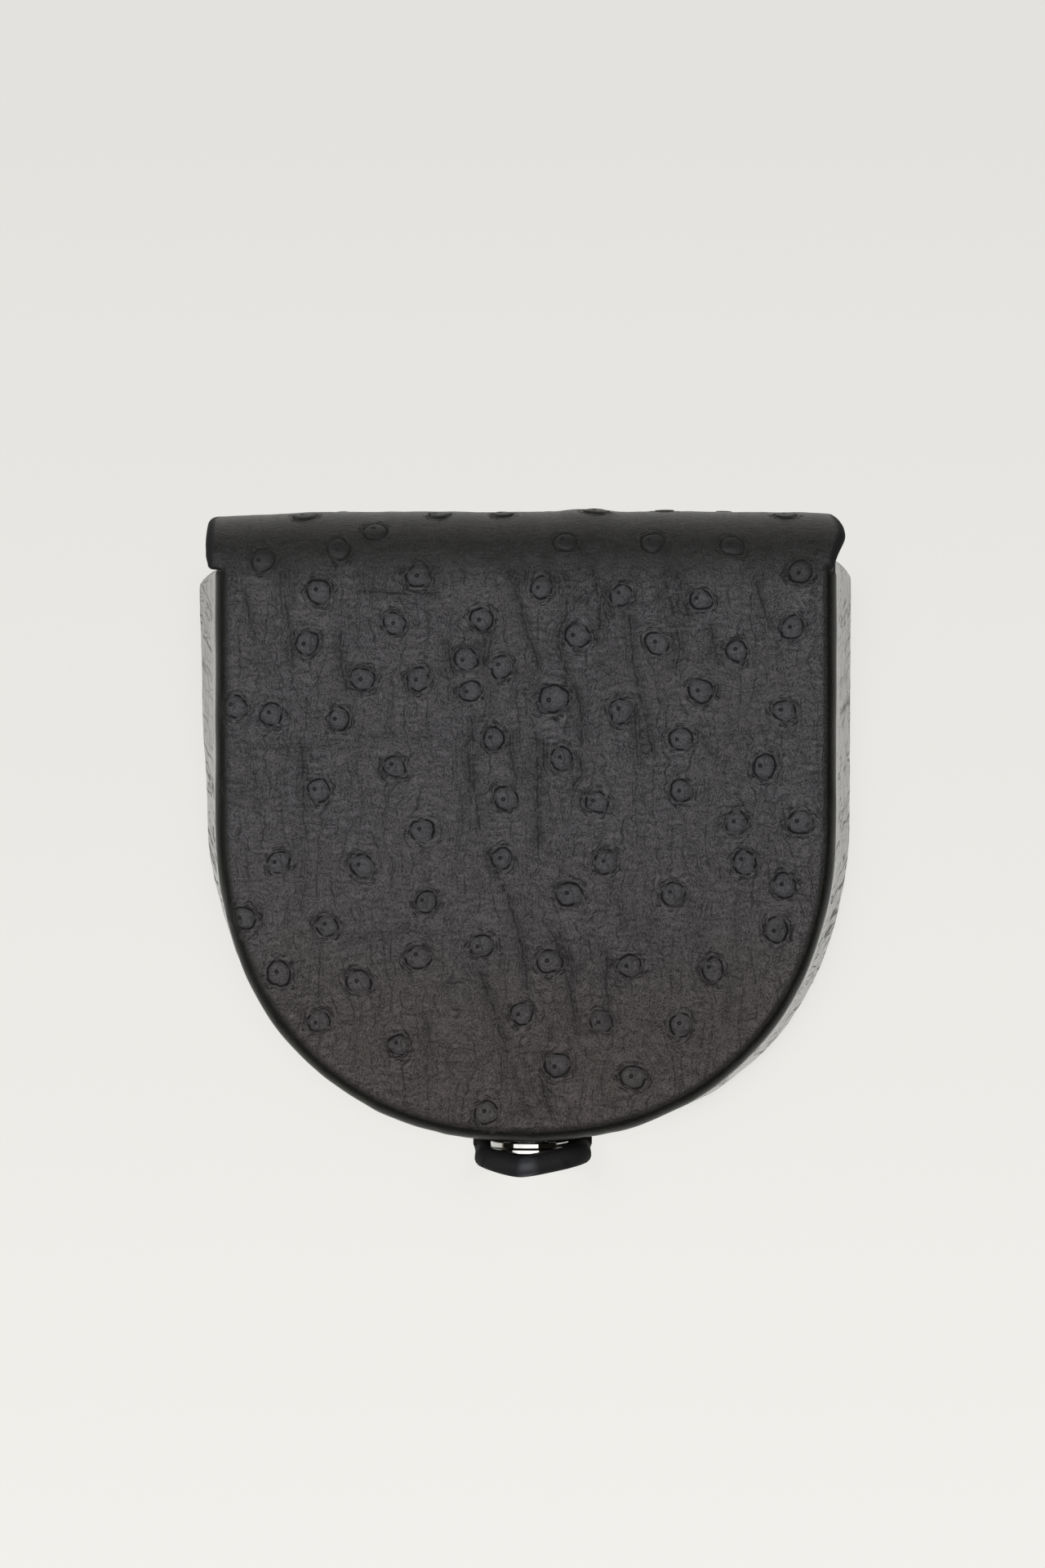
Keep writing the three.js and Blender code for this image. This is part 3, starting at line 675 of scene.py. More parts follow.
def folds(flow):
    """Broad soft folds of the leather, running along the pattern."""
    return np.array([
        0.12 * noise.noise(Vector((0.17 * u, 0.05 * v, 1.7)))
        + 0.07 * noise.noise(Vector((0.5 * u, 0.15 * v, 8.3)))
        for u, v in flow
    ])


def quill_points(quills):
    """Mesh points on rings round every quill and its pore."""
    points = []
    for u, v, radius, _, turn, phase, pore_u, pore_v in quills:
        points.append((u, v))
        for share, count in QUILL_RINGS:
            for k in range(count):
                angle = turn + 2 * math.pi * (k + share) / count
                far = share * radius * quill_wobble(angle, turn, phase)
                points.append((u + far * math.cos(angle), v + far * math.sin(angle)))
        for angle in 2 * math.pi * np.arange(PORE_POINTS) / PORE_POINTS:
            points.append((
                u + radius * (pore_u + PORE_RADIUS * math.cos(angle)),
                v + radius * (pore_v + PORE_RADIUS * math.sin(angle)),
            ))
    return np.array(points)


def lattice(rng, low, high, step):
    """Jittered triangular lattice over a length of the pattern."""
    points = []
    for number, v in enumerate(np.arange(low, high, step * 0.866)):
        u = np.arange(-PATTERN_HALF_WIDTH + step * 0.5 * (number % 2), PATTERN_HALF_WIDTH, step)
        points.append(np.column_stack([u, np.full(u.shape, v)]))
    points = np.vstack(points)
    return points + rng.uniform(-0.18, 0.18, points.shape) * step


def rim_bands():
    """Mesh points on lines that follow the rim."""
    step, gap = RIM_BAND_STEPS
    points = []
    for number, ahead in enumerate(np.arange(*RIM_BAND, gap)):
        length = np.arange(step / 2 * (1 + number % 2), RIM_LENGTH[-1], step)
        place, out, _ = rim_at(np.interp(length, RIM_LENGTH, np.arange(len(RIM_LENGTH))))
        points.append(place + out * ahead)
    return np.vstack(points)


def crease_points():
    """Mesh points along the charted creases and on both sides of them, where they don't crowd."""
    points = np.full((1, 2), np.inf)
    for line in map(rounded_line, CREASES + FAINT_CREASES):
        middle = resample(line, CREASE_STEP)
        step = np.gradient(middle, axis=0)
        square = unit(np.column_stack([-step[:, 1], step[:, 0]]))
        beside = np.vstack([middle + square * side for side in (0, -CREASE_SIDE, CREASE_SIDE)])
        points = np.vstack([points, beside[nearest(beside, points)[1] > 0.8 * CREASE_SIDE]])
    return points[1:]


def guided(spread):
    """Lattice points with those beside the rim and the creases changed for points that follow them."""
    _, _, ahead = rim_beside(spread)
    spread = spread[(ahead < RIM_BAND[0] - 0.3) | (spread[:, 1] > RIM_TOP_Y)]
    creases = crease_points()
    spread = np.vstack([rim_bands(), spread])
    spread = spread[nearest(spread, creases)[1] > 1.2 * CREASE_SIDE]
    return np.vstack([creases, spread])


# Meshes

def new_object(name, places, faces, materials, attributes):
    """Mesh object from places in millimetres, with its point attributes."""
    mesh = bpy.data.meshes.new(name)
    mesh.from_pydata((places * MM).tolist(), [], faces)
    for key, values in attributes.items():
        kind, field = ("FLOAT", "value") if values.ndim == 1 else ("FLOAT_VECTOR", "vector")
        layer = mesh.attributes.new(key, kind, "POINT")
        layer.data.foreach_set(field, values.astype(np.float32).ravel())
    for material in materials:
        mesh.materials.append(material)
    mesh.polygons.foreach_set("use_smooth", np.ones(len(mesh.polygons), bool))
    obj = bpy.data.objects.new(name, mesh)
    bpy.context.scene.collection.objects.link(obj)
    return obj


def pairs_round(count):
    """Pairs of neighbours round a closed ring of points."""
    return [(k, (k + 1) % count) for k in range(count)]


def tube_faces(rings, count):
    """Quads between closed rings of points, one ring after the other."""
    return [
        (start + k, start + after, start + count + after, start + count + k)
        for start in range(0, (rings - 1) * count, count) for k, after in pairs_round(count)
    ]


def triangulate(points, outline_count):
    """Triangles inside the outline that the first points make, as indices of the points."""
    result = delaunay_2d_cdt([Vector(p) for p in points], pairs_round(outline_count), [], 0, 1e-5, True)
    source = [ids[0] for ids in result[3]]
    faces = [tuple(source[k] for k in face) for face in result[2]]
    centres = np.array([points[list(face)].mean(0) for face in faces])
    edge_only = np.array([max(face) < outline_count for face in faces])
    kept = ~edge_only
    kept[edge_only] = inside(centres[edge_only], points[:outline_count])
    return [face for face, keep in zip(faces, kept) if keep]


def skin_points(outline, rounding, shares, spread, clear):
    """Points of one skin: the outline, rings at shares of its edge's rounding, and a spread clear of them.
    Each comes with its inset from the outline and the rounding there."""
    directions = inward(outline)
    points = [outline]
    insets = [np.zeros(len(outline))]
    edges = [rounding]
    for share in shares:
        inset = rounding * share
        ring = outline + directions * inset[:, None]
        keep = nearest(ring, outline)[1] > 0.85 * inset
        points.append(ring[keep])
        insets.append(inset[keep])
        edges.append(rounding[keep])
    index, distance = nearest(spread, outline)
    spread = spread[inside(spread, outline) & (distance > shares[-1] * rounding[index] + clear)]
    points.append(spread)
    insets.append(np.full(len(spread), FAR))
    edges.append(np.ones(len(spread)))
    return np.vstack(points), np.concatenate(insets), np.concatenate(edges)


def rounded_drop(inset, rounding):
    """How far a rounded edge falls away from the face at an inset from its end."""
    left = np.maximum(rounding - inset, 0)
    return rounding - np.sqrt(rounding ** 2 - left ** 2)


def edge_share(points, insets, rounding):
    """How much each point belongs to a painted edge or to the painted tongue."""
    return np.maximum(1 - smooth(0.75, 1.25, insets / rounding), smooth(BEND_V + 2, UP_V, points[:, 1]))


def wrap_skin(points, insets, rounding, quills):
    """Outer skin of the wrap: places and attributes."""
    relief, on_quill, on_pore, flow = quill_field(points, quills)
    crease = crease_field(points)
    dent = crease[:, 1] * (1 - smooth(0, CREASE_DENT_REACH, np.abs(crease[:, 0])))
    edge = edge_share(points, insets, rounding)
    height = (relief + folds(flow) - CREASE_DENT * dent) * (1 - edge)
    height -= flap_seat(points[:, 1]) + rounded_drop(insets, rounding)
    on_quill[:, 2] *= 1 - edge
    return lay(points, height), {
        "rim": rim_burnish_and_shade(points),
        "crease": crease,
        "flat": with_zero(points),
        "flow": with_zero(flow),
        "quill": on_quill,
        "pore": on_pore,
        "edge": edge,
    }


def make_wrap(materials):
    """The wrap: fine outer skin, plain inner skin and rounded edges between them."""
    rng = np.random.default_rng(SEED)
    outline, rounding = pattern_outline()
    quills = quill_table(rng, outline)
    centres = np.array([row[:2] for row in quills])
    dots = quill_points(quills)
    own = np.repeat(np.arange(len(quills)), len(dots) // len(quills))
    dots = dots[nearest(dots, centres)[0] == own]
    face = lattice(rng, PATTERN_BOTTOM, FINE_TOP, FACE_STEP)
    back = lattice(rng, FINE_TOP, TIP_V, FLAP_STEP)
    spread = guided(np.vstack([face, back]))
    reach = np.array([row[2] for row in quills]) * QUILL_RINGS[-1][0] + 0.3
    index, distance = nearest(spread, centres)
    spread = np.vstack([dots, spread[distance > reach[index]]])
    points, insets, edges = skin_points(outline, rounding, OUTER_RINGS, spread, 0.15)
    places, attributes = wrap_skin(points, insets, edges, quills)

    spread = lattice(rng, PATTERN_BOTTOM, TIP_V, INNER_STEP)
    flat, insets, edges = skin_points(outline, rounding, INNER_RINGS, spread, 0.5)
    depth = leather_thickness(flat[:, 1]) + flap_seat(flat[:, 1]) - rounded_drop(insets, edges)
    plain = {key: np.zeros((len(flat), *values.shape[1:])) for key, values in attributes.items()}
    plain["flat"] = plain["flow"] = with_zero(flat)
    plain["edge"] = edge_share(flat, insets, edges)

    count = len(outline)
    shift = len(places)
    faces = triangulate(points, count)
    faces += [(k, shift + k, shift + after, after) for k, after in pairs_round(count)]
    inner_faces = triangulate(flat, count)
    obj = new_object(
        "wrap_leather",
        np.vstack([places, lay(flat, -depth)]),
        faces + [tuple(shift + k for k in face[::-1]) for face in inner_faces],
        materials,
        {key: np.concatenate([attributes[key], plain[key]]) for key in attributes},
    )
    slots = np.zeros(len(obj.data.polygons), np.int32)
    slots[len(faces):] = [flat[list(face), 1].max() < UP_V for face in inner_faces]
    obj.data.polygons.foreach_set("material_index", slots)
    return obj


# Gusset

GUSSET_NEAR_Z = RIM_END_Z - 0.04
GUSSET_MOUTH_Z = LEATHER + FLAP_SEAT + 0.05
GUSSET_BOW = -0.15
GUSSET_TUCK = (0.06, 0.16)  # the wall starts steeper: share of its flare held back, and up to this depth
GUSSET_WRINKLE = 0.07
GUSSET_EDGE = 0.5
GUSSET_STEP = 0.5
GUSSET_END = (0.8, 0.75)  # length of the rounded ends, and the share of the thickness they lose
FOLD_SLANT = 0.42  # of the wall's creases, along for each millimetre of depth
FOLD_APART = 40  # keeps the creases of the two sides unlike
WALL_ROWS = 26
ROUND_STEPS = 5
CORNER_POWER = 2.8
CORNER_FADE = 7.0  # length of the wall that slopes down to the mouth's corner
RIGHT_CORNER = (1.1, 1.4)  # start above the rim's end, and drop at the mouth
LEFT_CORNER = (-0.1, 1.2)


def gusset_section():
    """Closed section of the gusset's leather: heights, depths in from its outer face, and its edges."""
    turn = np.linspace(0, math.pi / 2, ROUND_STEPS)[1:]
    low = GUSSET_MOUTH_Z + GUSSET_EDGE
    small = GUSSET_EDGE / 2
    wall = np.linspace(GUSSET_NEAR_Z - small, low, WALL_ROWS)
    top = GUSSET_NEAR_Z - small * (1 - np.sin(turn[::-1]))
    z = np.concatenate([top, wall, low - GUSSET_EDGE * np.sin(turn)])
    sunk = 1 - np.cos(turn)
    depth = np.concatenate([small * sunk[::-1], np.zeros(WALL_ROWS), GUSSET_EDGE * sunk])
    edge = np.concatenate([np.ones(len(turn)), np.zeros(WALL_ROWS), np.ones(len(turn))])
    depth = np.concatenate([depth, GUSSET_LEATHER - depth[::-1]])
    return np.concatenate([z, z[::-1]]), depth, np.concatenate([edge, edge[::-1]])


def make_gusset(materials):
    """The gusset: a lofted wall with rounded edges and a little wrinkled."""
    z, depth, edge = gusset_section()
    count = len(z)
    length = RIM_LENGTH[-1]
    steps = round(length / GUSSET_STEP)
    ends = np.linspace(math.pi / 2, 0, ROUND_STEPS)[:-1]
    rows = [(0.0, angle) for angle in ends]
    rows += [(k / steps, 0.0) for k in range(steps + 1)]
    rows += [(1.0, angle) for angle in ends[::-1]]
    reach = (GUSSET_NEAR_Z - z) / (GUSSET_NEAR_Z - GUSSET_MOUTH_Z)
    on_wall = np.clip(reach, 0, 1)
    held, until = GUSSET_TUCK
    opening = reach - held * smooth(0, until, reach) * (1 - smooth(until, 1, reach))
    bow = GUSSET_BOW * np.sin(math.pi * on_wall)
    loose = GUSSET_WRINKLE * (depth < GUSSET_LEATHER / 2) * (1 - edge)
    places = []
    flat = []
    folds_at = []
    edges = []
    for along, angle in rows:
        at = along * length
        place, out, _ = rim_at(np.interp([along], RIM_ALONG, np.arange(len(RIM_ALONG))))
        narrow = 1 - GUSSET_END[1] * (1 - math.cos(angle))
        level = GUSSET_LEATHER / 2 + (depth - GUSSET_LEATHER / 2) * narrow
        wrinkle = np.array([noise.noise(Vector((0.55 * at, 0.9 * height, 3.1))) for height in z])
        outside = read_table(MOUTH_FLARE, along) * opening + bow - level + loose * wrinkle
        xy = place + out * outside[:, None]
        side, (start, drop) = (1, RIGHT_CORNER) if along < 0.5 else (-1, LEFT_CORNER)
        fade = 1 - smooth(0, CORNER_FADE, min(along, 1 - along) * length)
        xy[:, 1] += fade * (start - drop * on_wall ** CORNER_POWER) + GUSSET_END[0] * math.sin(angle)
        places.append(np.column_stack([xy, z]))
        flat.append(np.column_stack([np.full(count, at), z, depth]))
        wear = read_table(WALL_WEAR, at) * smooth(0.15, 0.5, reach)
        slanted = abs(along - 0.5) * length + FOLD_SLANT * z
        folds_at.append(np.column_stack([slanted, z + FOLD_APART * side, wear]))
        edges.append(np.maximum(edge, math.sin(angle)))
    faces = tube_faces(len(rows), count)
    last = (len(rows) - 1) * count
    for k in range(count // 2 - 1):
        cap = (k, count - 1 - k, count - 2 - k, k + 1)
        faces += [cap, tuple(last + corner for corner in cap[::-1])]
    flat = np.vstack(flat)
    attributes = {"flat": flat, "edge": np.concatenate(edges), "fold": np.vstack(folds_at)}
    obj = new_object("gusset_leather", np.vstack(places), faces, materials, attributes)
    inner = flat[np.array(faces), 2].sum(1) > 2 * GUSSET_LEATHER + 0.1
    obj.data.polygons.foreach_set("material_index", inner.astype(np.int32))
    return obj


# Snap: profiles as radius, distance out of the gusset's bottom, and the corner's rounding

SNAP_SIDES = 96
SNAP_X, _, SNAP_Z = (SOCKET_LOW + SOCKET_HIGH) / 2
SNAP_Y = SOCKET_HIGH[1] + 1.1
SOCKET_PROFILE = [
    (0, 1.95, 0), (2.4, 1.95, 0.05), (2.4, 0.95, 0.1), (3.75, 0.95, 0.05), (3.75, 0.85, 0.05),
    (5.0, 0.85, 0.2), (5.0, 1.6, 0.1), (5.35, 1.7, 0.14), (5.35, 2.3, 0.1), (0, 2.3, 0),
]
STUD_PROFILE = [
    (0, -2.7, 0), (3.2, -2.7, 0.2), (3.2, -2.1, 0.1), (1.5, -2.1, 0.05), (1.5, 0.35, 0.05),
    (3.4, 0.35, 0.1), (3.4, 0.65, 0.12), (1.7, 0.65, 0.12), (1.65, 0.95, 0.1),
    (2.05, 1.15, 0.15), (2.05, 1.65, 0.3), (0, 1.65, 0),
]
SHARP_ANGLE = math.radians(40)


def rounded_profile(rows):
    """Profile of a turned piece with its corners rounded by each row's radius."""
    points = np.array(rows, float)[:, :2]
    result = [points[:1]]
    for before, here, after, row in zip(points, points[1:], points[2:], rows[1:]):
        back, on = unit(np.array([before - here, after - here])) * row[2]
        result.append(curve(here + back, here, here + on, ROUND_STEPS))
    return np.vstack([*result, points[-1:]])


def make_turned(name, rows, material):
    """Turned metal piece on the snap's axis, which runs out of the gusset's bottom."""
    profile = rounded_profile(rows)
    angles = 2 * math.pi * np.arange(SNAP_SIDES) / SNAP_SIDES
    places = [
        np.column_stack([
            SNAP_X + radius * np.cos(angles),
            np.full(SNAP_SIDES, SNAP_Y - out),
            SNAP_Z + radius * np.sin(angles),
        ])
        for radius, out in profile
    ]
    obj = new_object(name, np.vstack(places), tube_faces(len(profile), SNAP_SIDES), [material], {})
    weld = obj.modifiers.new("weld", "WELD")
    weld.merge_threshold = 0.005 * MM
    obj.data.set_sharp_from_angle(angle=SHARP_ANGLE)
    return obj


# Materials

class Wire:
    """Output of a shader node. Sums and products of wires add nodes to its tree."""

    def __init__(self, socket):
        self.socket = socket
        self.tree = socket.id_data

    def __add__(self, other):
        return maths("ADD", self, other)

    def __sub__(self, other):
        return maths("SUBTRACT", self, other)

    def __mul__(self, other):
        return maths("MULTIPLY", self, other)

    def __truediv__(self, other):
        return maths("DIVIDE", self, other)


def put(tree, kind, output, inputs, **settings):
    """Adds a node with its settings and inputs, which are values or wires, and returns an output."""
    node = tree.nodes.new(kind)
    for name, value in settings.items():
        setattr(node, name, value)
    for name, value in inputs.items():
        if isinstance(value, Wire):
            tree.links.new(value.socket, node.inputs[name])
        else:
            node.inputs[name].default_value = value
    return None if output is None else Wire(node.outputs[output])


def maths(operation, a, b=0.0):
    return put(a.tree, "ShaderNodeMath", 0, {0: a, 1: b}, operation=operation)


def larger(first, *others):
    """Largest of some values."""
    for other in others:
        first = maths("MAXIMUM", first, other)
    return first


def ramp(value, low, high, to_low=0.0, to_high=1.0, kind="SMOOTHSTEP"):
    """Step of a value between two ends."""
    inputs = {"Value": value, "From Min": low, "From Max": high, "To Min": to_low, "To Max": to_high}
    return put(value.tree, "ShaderNodeMapRange", "Result", inputs, interpolation_type=kind)


def mix(factor, a, b):
    """Colour between two colours. The numbers are the places of the node's colour sockets."""
    a, b = (colour if isinstance(colour, Wire) else (*colour, 1.0) for colour in (a, b))
    return put(factor.tree, "ShaderNodeMix", 2, {0: factor, 6: a, 7: b}, data_type="RGBA")


def attribute(tree, name, output="Vector"):
    return put(tree, "ShaderNodeAttribute", output, {}, attribute_name=name)


def stretched(vector, across, along):
    """Pattern coordinates scaled across and along the leather."""
    inputs = {"Vector": vector, "Scale": (across, along, 1.0)}
    return put(vector.tree, "ShaderNodeMapping", "Vector", inputs)


def noise_at(vector, scale=1.0, detail=1.0, roughness=0.5, output="Fac"):
    """Noise over the flat pattern, per millimetre."""
    inputs = {"Vector": vector, "Scale": scale, "Detail": detail, "Roughness": roughness}
    return put(vector.tree, "ShaderNodeTexNoise", output, inputs, noise_dimensions="2D")


def vector_maths(operation, *values, output="Vector"):
    inputs = dict(enumerate(values))
    return put(values[0].tree, "ShaderNodeVectorMath", output, inputs, operation=operation)


def parts(vector):
    """The three parts of a vector."""
    first = put(vector.tree, "ShaderNodeSeparateXYZ", "X", {"Vector": vector})
    return [Wire(socket) for socket in first.socket.node.outputs]


def flat_length(vector):
    """Length of the first two parts of a vector."""
    return vector_maths("LENGTH", vector_maths("MULTIPLY", vector, (1.0, 1.0, 0.0)), output="Value")


def line_at(value, centre, width):
    """1 where a value is at a centre, 0 a width away from it."""
    return ramp(maths("ABSOLUTE", value - centre), 0.2 * width, width, 1.0, 0.0, "LINEAR")


def warped(vector, scale, amount):
    """Coordinates pushed about by soft noise, by about an amount in millimetres."""
    wander = noise_at(vector, scale, 0.0, output="Color")
    centred = vector_maths("SUBTRACT", wander, (0.5, 0.5, 0.5))
    return vector_maths("MULTIPLY_ADD", centred, (2 * amount,) * 3, vector)


def long_creases(vector, spacing, sway, width):
    """Long thin creases along the leather, at about a spacing: 1 in a crease."""
    wander = noise_at(stretched(vector, 0.16, 0.055), 1.0, 2.0)
    number = wander * (2 * sway) + parts(vector)[0] / spacing
    return line_at(maths("FRACT", number), 0.5, width / spacing)


def patchy(mask, vector, scale, low, high):
    """A mask that fades in and out over the leather."""
    return mask * ramp(noise_at(vector, scale, 0.0), low, high)


def bump(height):
    """Normals from a height in millimetres."""
    inputs = {"Height": height, "Strength": 1.0, "Distance": MM}
    return put(height.tree, "ShaderNodeBump", "Normal", inputs)


def empty_tree(owner):
    """Cleared node tree of a material or a world."""
    owner.use_nodes = True
    owner.node_tree.nodes.clear()
    return owner.node_tree


def new_material(name):
    """Material without nodes, and its tree."""
    material = bpy.data.materials.new(name)
    return material, empty_tree(material)


def principled(tree, **inputs):
    """Ends a material with a principled shader, whose inputs are values or wires."""
    named = {key.replace("_", " ").title().replace("Ior", "IOR"): inputs[key] for key in inputs}
    shader = put(tree, "ShaderNodeBsdfPrincipled", "BSDF", named)
    put(tree, "ShaderNodeOutputMaterial", None, {"Surface": shader})


def quill_marks(tree, flat):
    """Masks of the quills' domes, of the grooves round them with the painted shade in them and on the
    domes' flanks, and of their pores.
    """
    quill = attribute(tree, "quill")
    shown = parts(quill)[2]
    uneven = noise_at(flat, 0.75, 1.0)
    far = uneven * 0.3 + (flat_length(quill) - 0.15)
    dome = ramp(far, 0.86, 1.0, 1.0, 0.0) * shown
    patch = noise_at(flat, 0.85, 0.0)
    ring = line_at(far, 1.05, 0.2) * ramp(patch, 0.3, 0.55, 0.45, 1.0)
    stray = uneven * 0.6 + far
    arcs = larger(line_at(stray, 1.6, 0.12), line_at(stray, 1.84, 0.1)) * ramp(patch, 0.6, 0.42)
    shade = ramp(far, 0.5, 1.0, 0.0, 0.3) * dome
    groove_and_shade = larger(larger(ring, arcs * 0.8) * shown, shade)
    pore = line_at(flat_length(attribute(tree, "pore")), 0.12, 0.11)
    return dome, groove_and_shade, pore * shown


def charted_creases(tree, flat):
    """Mask of the charted creases, a wavering line with a fainter one beside it, and their soft shade.
    With them, how much of the other creases shows."""
    apart, strength, others = parts(attribute(tree, "crease"))
    wavering = (noise_at(flat, 0.75, 1.0) - 0.5) * 0.5 + apart
    lines = larger(line_at(wavering, 0.0, 0.32), line_at(wavering, 0.42, 0.14) * 0.75)
    dashes = ramp(noise_at(stretched(flat, 1.5, 0.55), 1.0, 0.0), 0.28, 0.5, 0.5, 1.0)
    shade = ramp(maths("ABSOLUTE", apart), 0.1, 1.8, 0.26, 0.0)
    return lines * dashes * strength, shade * strength, others


def quill_leather():
    """Black quill leather: creases that run round the quills, fine grain, grooves. Painted shade darkens
    its creases, grooves and pores, the rim's turn and the roll; painted highlights lighten the quill tops
    and a spot on the tongue.
    """
    material, tree = new_material("quill_leather")
    flat = attribute(tree, "flat")
    edge = attribute(tree, "edge", "Fac")
    # rim: how much smooth burnish and painted shade of the rim's turn and of the roll a point has
    rim = attribute(tree, "rim", "Fac")
    dome, groove_and_shade, pore = quill_marks(tree, flat)
    plain = larger(edge, rim * 0.8)

    wander = warped(attribute(tree, "flow"), 0.7, 0.4)
    charted, shade, others = charted_creases(tree, flat)
    shown = ramp(rim, 0.2, 0.7, 1.0, 0.25)
    deep = long_creases(wander, 4.4, 0.35, 0.3)
    deep = patchy(deep, stretched(flat, 1.0, 0.6), 0.2, 0.36, 0.52) * others * shown
    deep = larger(deep, charted * ramp(rim, 0.3, 0.75, 0.8, 0.35))
    fine = long_creases(wander, 1.7, 0.7, 0.17)
    fine = patchy(fine, stretched(flat, 1.0, 0.5), 0.55, 0.42, 0.6) * shown
    level = noise_at(stretched(wander, 0.45, 1.9), 1.0, 1.0, 0.6)
    hatch = noise_at(stretched(wander, 3.0, 2.6), 1.0, 2.0, 0.75)
    grain = noise_at(flat, 6.0, 1.0, 0.65)

    height = deep * -0.11 + fine * -0.05 + level * 0.2 + hatch * 0.3
    height = height * ramp(dome, 0.0, 1.0, 1.0, 0.3) + grain * 0.16 + groove_and_shade * -0.12 + pore * -0.1
    height = height * ramp(plain, 0.1, 0.9, 1.0, 0.08)

    cloud = ramp(noise_at(flat, 0.09, 2.0), 0.35, 0.65)
    colour = mix(cloud, (0.022, 0.021, 0.0235), (0.029, 0.0275, 0.028))
    speck = ramp(hatch + (level * 0.5 + grain), 0.98, 1.55, kind="LINEAR")
    colour = mix(speck, colour, (0.112, 0.108, 0.112))
    # Lighter bluish quill tops: a painted highlight
    colour = mix(dome * 0.4, colour, (0.044, 0.047, 0.054))
    # Darkening in the creases, the quill grooves, the pores and beside the charted creases: painted shade
    dark = larger(deep * 0.85, fine * 0.48, groove_and_shade, pore, shade)
    colour = mix(dark, colour, (0.003, 0.003, 0.004))
    warmer = vector_maths("MULTIPLY", colour, (0.98, 0.9, 0.84))
    colour = mix(ramp(parts(flat)[1], 5.0, -30.0), colour, warmer)
    # Darker on the rim's turn and over the roll: painted shade
    colour = mix(rim, colour, (0.005, 0.005, 0.004))
    colour = mix(edge, colour, (0.005, 0.005, 0.006))
    # Rubbed spot on the tongue: glossier, and lightened in colour as a painted highlight
    from_rub_and_highlight = vector_maths("SUBTRACT", flat, (*RUB_AND_HIGHLIGHT_AT, 0.0))
    from_rub_and_highlight = flat_length(vector_maths("MULTIPLY", from_rub_and_highlight, (0.6, 1.0, 0.0)))
    rubbed_and_highlight = ramp(from_rub_and_highlight, 0.2, 1.1, 1.0, 0.0)
    colour = mix(rubbed_and_highlight, colour, (0.03, 0.031, 0.036))
    rough = grain * 0.22 + 0.34 + dark * 0.5 + plain * -0.16 + edge * 0.5 + rubbed_and_highlight * -0.5
    principled(tree, specular_ior_level=0.26, base_color=colour, roughness=rough, normal=bump(height))
    return material


def gusset_leather():
    """Smooth polished leather of the side wall, with creases across it darkened as painted shade, and soft
    waves along it.
    """
    material, tree = new_material("gusset_leather")
    flat = attribute(tree, "flat")
    edge = attribute(tree, "edge", "Fac")
    across = attribute(tree, "fold")
    fold = warped(across, 0.35, 0.5)
    deep = noise_at(stretched(fold, 0.36, 0.05), 1.0, 1.5, 0.6)
    deep = patchy(line_at(deep, 0.5, 0.042), flat, 0.28, 0.34, 0.5)
    fine = noise_at(stretched(fold, 0.8, 0.12), 1.0, 0.0)
    fine = patchy(line_at(fine, 0.5, 0.042), flat, 0.4, 0.4, 0.58)
    dark = larger(deep, fine * 0.75) * parts(across)[2]
    wave = noise_at(stretched(flat, 0.1, 0.55), 1.0, 2.0, 0.6)
    grain = noise_at(stretched(flat, 2.5, 4.0), 1.0, 3.0, 0.6)
    colour = mix(noise_at(flat, 0.2, 2.0), (0.016, 0.0155, 0.015), (0.026, 0.025, 0.024))
    # Creases darkened: painted shade in them
    colour = mix(dark, colour, (0.003, 0.003, 0.003))
    colour = mix(edge, colour, (0.012, 0.012, 0.013))
    principled(
        tree, specular_ior_level=0.95, coat_weight=0.2, coat_roughness=0.12, base_color=colour,
        roughness=grain * 0.1 + 0.07 + dark * 0.75 + edge * 0.4,
        normal=bump(dark * -0.12 + wave * 0.1 + grain * 0.025),
    )
    return material


def flesh_side():
    """Soft dark flesh side of the leather inside the purse."""
    material, tree = new_material("flesh_side")
    flat = attribute(tree, "flat")
    nap = noise_at(flat, 3.5, 4.0, 0.7)
    cloud = ramp(noise_at(flat, 0.25, 2.0), 0.4, 0.7, 0.0, 0.4)
    colour = mix(nap, (0.014, 0.013, 0.012), (0.032, 0.030, 0.028))
    colour = mix(cloud, colour, (0.012, 0.011, 0.011))
    rough = nap * 0.15 + 0.8
    principled(tree, specular_ior_level=0.15, base_color=colour, roughness=rough, normal=bump(nap * 0.12))
    return material


def snap_metal():
    """Polished nickel with turning marks and a little tarnish."""
    material, tree = new_material("snap_metal")
    place = put(tree, "ShaderNodeTexCoord", "Object", {})
    marks = noise_at(stretched(place, 150.0, 5200.0), 1.0, 2.0)
    tarnish = noise_at(place, 420.0, 3.0)
    colour = mix(ramp(tarnish, 0.4, 0.75), (0.66, 0.65, 0.63), (0.44, 0.43, 0.42))
    rough = tarnish * 0.05 + 0.03
    principled(tree, metallic=1.0, base_color=colour, roughness=rough, normal=bump(marks * 0.004))
    return material


# Pieces

leather = quill_leather()
flesh = flesh_side()
metal = snap_metal()

PIECES = [
    (make_wrap([leather, flesh]), "wrap", "quill_leather"),
    (make_gusset([gusset_leather(), flesh]), "gusset", "gusset_leather"),
    (make_turned("snap_socket_ring", SOCKET_PROFILE, metal), "snap_socket", "snap_metal"),
    (make_turned("snap_stud_post", STUD_PROFILE, metal), "snap_stud", "snap_metal"),
]
for piece, node_name, slot_name in PIECES:
    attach(piece, "root")
    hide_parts(node_name)

# Floor and lights, in metres where no other unit is named; shadows and camera in millimetres

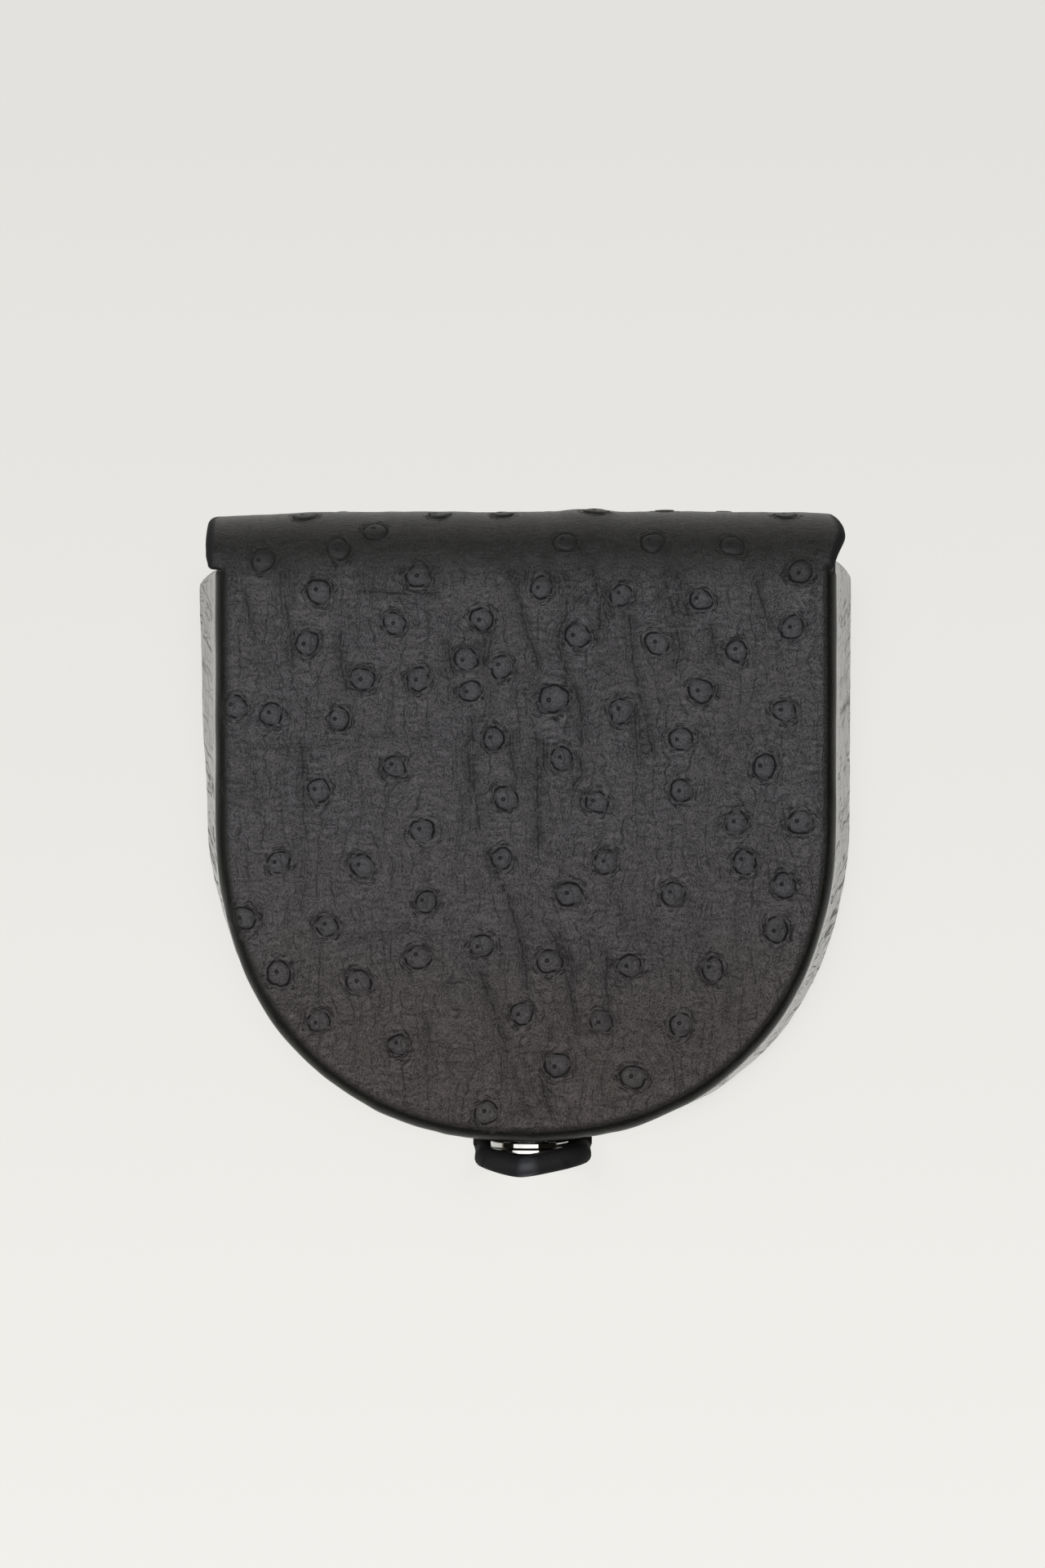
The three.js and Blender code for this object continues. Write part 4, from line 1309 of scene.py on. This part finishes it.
FLOOR_NEAR = 0.09  # half width of the floor's evenly divided middle, in metres
FLOOR_FAR = 4.0
FLOOR_SPREAD = 15  # power that takes the last steps out to the far edge
FLOOR_STEPS = 90
FLOOR_COLOUR = (1.0, 0.99, 0.953, 1.0)
FLOOR_GLOW = (0.765, 0.885)  # at the top and the bottom of the picture
FLOOR_GLOW_REACH = 0.1
BLACK = (0.0, 0.0, 0.0, 1.0)
SHADOW_DEPTH = 0.055
SHADOW_REACH = 1.9  # the soft shadow round the purse fades over about this, in millimetres
SHADOW_SHIFT = (0.3, -0.9)
UNDER_DEPTH = 0.6  # of the shadow under the purse
UNDER_FADE = 3  # and its width from the flap's edge, in millimetres
SOFT_BOX = [("soft_box", 1.1, 4.75), ("soft_box_middle", 0.6, 4.35)]  # name, width, power
SOFT_BOX_AT = (-0.22, 0.03, 0.7)
ROOM_COLOUR = (0.86, 0.78, 0.62, 1.0)
ROOM_GLOW = (0.5, 0.012)  # at the horizon and above it
HORIZON = 0.14


def make_floor():
    """Pale plain floor that glows softly like a light table, with a painted soft shadow by the purse in its
    glow.
    """
    share = np.linspace(-1, 1, 2 * FLOOR_STEPS + 1)
    line = FLOOR_NEAR * share + (FLOOR_FAR - FLOOR_NEAR) * share ** FLOOR_SPREAD
    flat = np.column_stack([grid.ravel() for grid in np.meshgrid(line, line)]) / MM
    outline, _ = pattern_outline()
    shadows = []
    for end_v in (BEND_V + TONGUE_BEND, BEND_V):
        base = outline[(outline[:, 1] > FLAP_V) & (outline[:, 1] < end_v)]
        base = turned_back(base) + SHADOW_SHIFT
        shadows.append((nearest(flat, base)[1], inside(flat, base)))
    (apart, under_all), (depth, under_flap) = shadows
    # The shadow is painted into the glow: soft round the purse and deeper under the flap
    glow = 1 - SHADOW_DEPTH * np.exp(-apart * ~under_all / SHADOW_REACH)
    glow -= UNDER_DEPTH * smooth(0, UNDER_FADE, depth * under_flap)
    side = len(line)
    faces = [
        (a, a + 1, a + side + 1, a + side)
        for row in range(side - 1) for a in range(row * side, row * side + side - 1)
    ]
    material, tree = new_material("pale_floor")
    y = parts(put(tree, "ShaderNodeTexCoord", "Object", {}))[1]
    strength = ramp(y, FLOOR_GLOW_REACH, -FLOOR_GLOW_REACH, *FLOOR_GLOW, "LINEAR")
    principled(
        tree, roughness=1.0, specular_ior_level=0.0, base_color=BLACK, emission_color=FLOOR_COLOUR,
        emission_strength=strength * attribute(tree, "glow", "Fac"),
    )
    floor = new_object("floor", with_zero(flat), faces, [material], {"glow": glow})


def make_light():
    """One large soft box above the purse, brighter in its middle, and a dim room."""
    for name, size, energy in SOFT_BOX:
        lamp = bpy.data.lights.new(name, "AREA")
        lamp.shape = "DISK"
        lamp.size = size
        lamp.energy = energy
        obj = bpy.data.objects.new(name, lamp)
        obj.location = SOFT_BOX_AT
        bpy.context.scene.collection.objects.link(obj)
    world = bpy.data.worlds.new("room")
    bpy.context.scene.world = world
    tree = empty_tree(world)
    up = parts(put(tree, "ShaderNodeTexCoord", "Generated", {}))[2]
    inputs = {"Color": ROOM_COLOUR, "Strength": ramp(up, 0.0, HORIZON, *ROOM_GLOW)}
    background = put(tree, "ShaderNodeBackground", "Background", inputs)
    put(tree, "ShaderNodeOutputWorld", None, {"Surface": background})


IMAGE_HEIGHT = 1920
CAMERA_DISTANCE = 600.0
CAMERA_AT = (-0.41, 7.82)


def make_camera():
    """Camera square above the face, as the photograph was taken."""
    data = bpy.data.cameras.new("camera")
    data.lens = data.sensor_width * CAMERA_DISTANCE / (PIXEL * IMAGE_HEIGHT)
    camera = bpy.data.objects.new("camera", data)
    camera.location = Vector((*CAMERA_AT, DEPTH + CAMERA_DISTANCE)) * MM
    bpy.context.scene.collection.objects.link(camera)
    bpy.context.scene.camera = camera


make_floor()
make_light()
make_camera()
bpy.context.scene.view_settings.view_transform = "Standard"
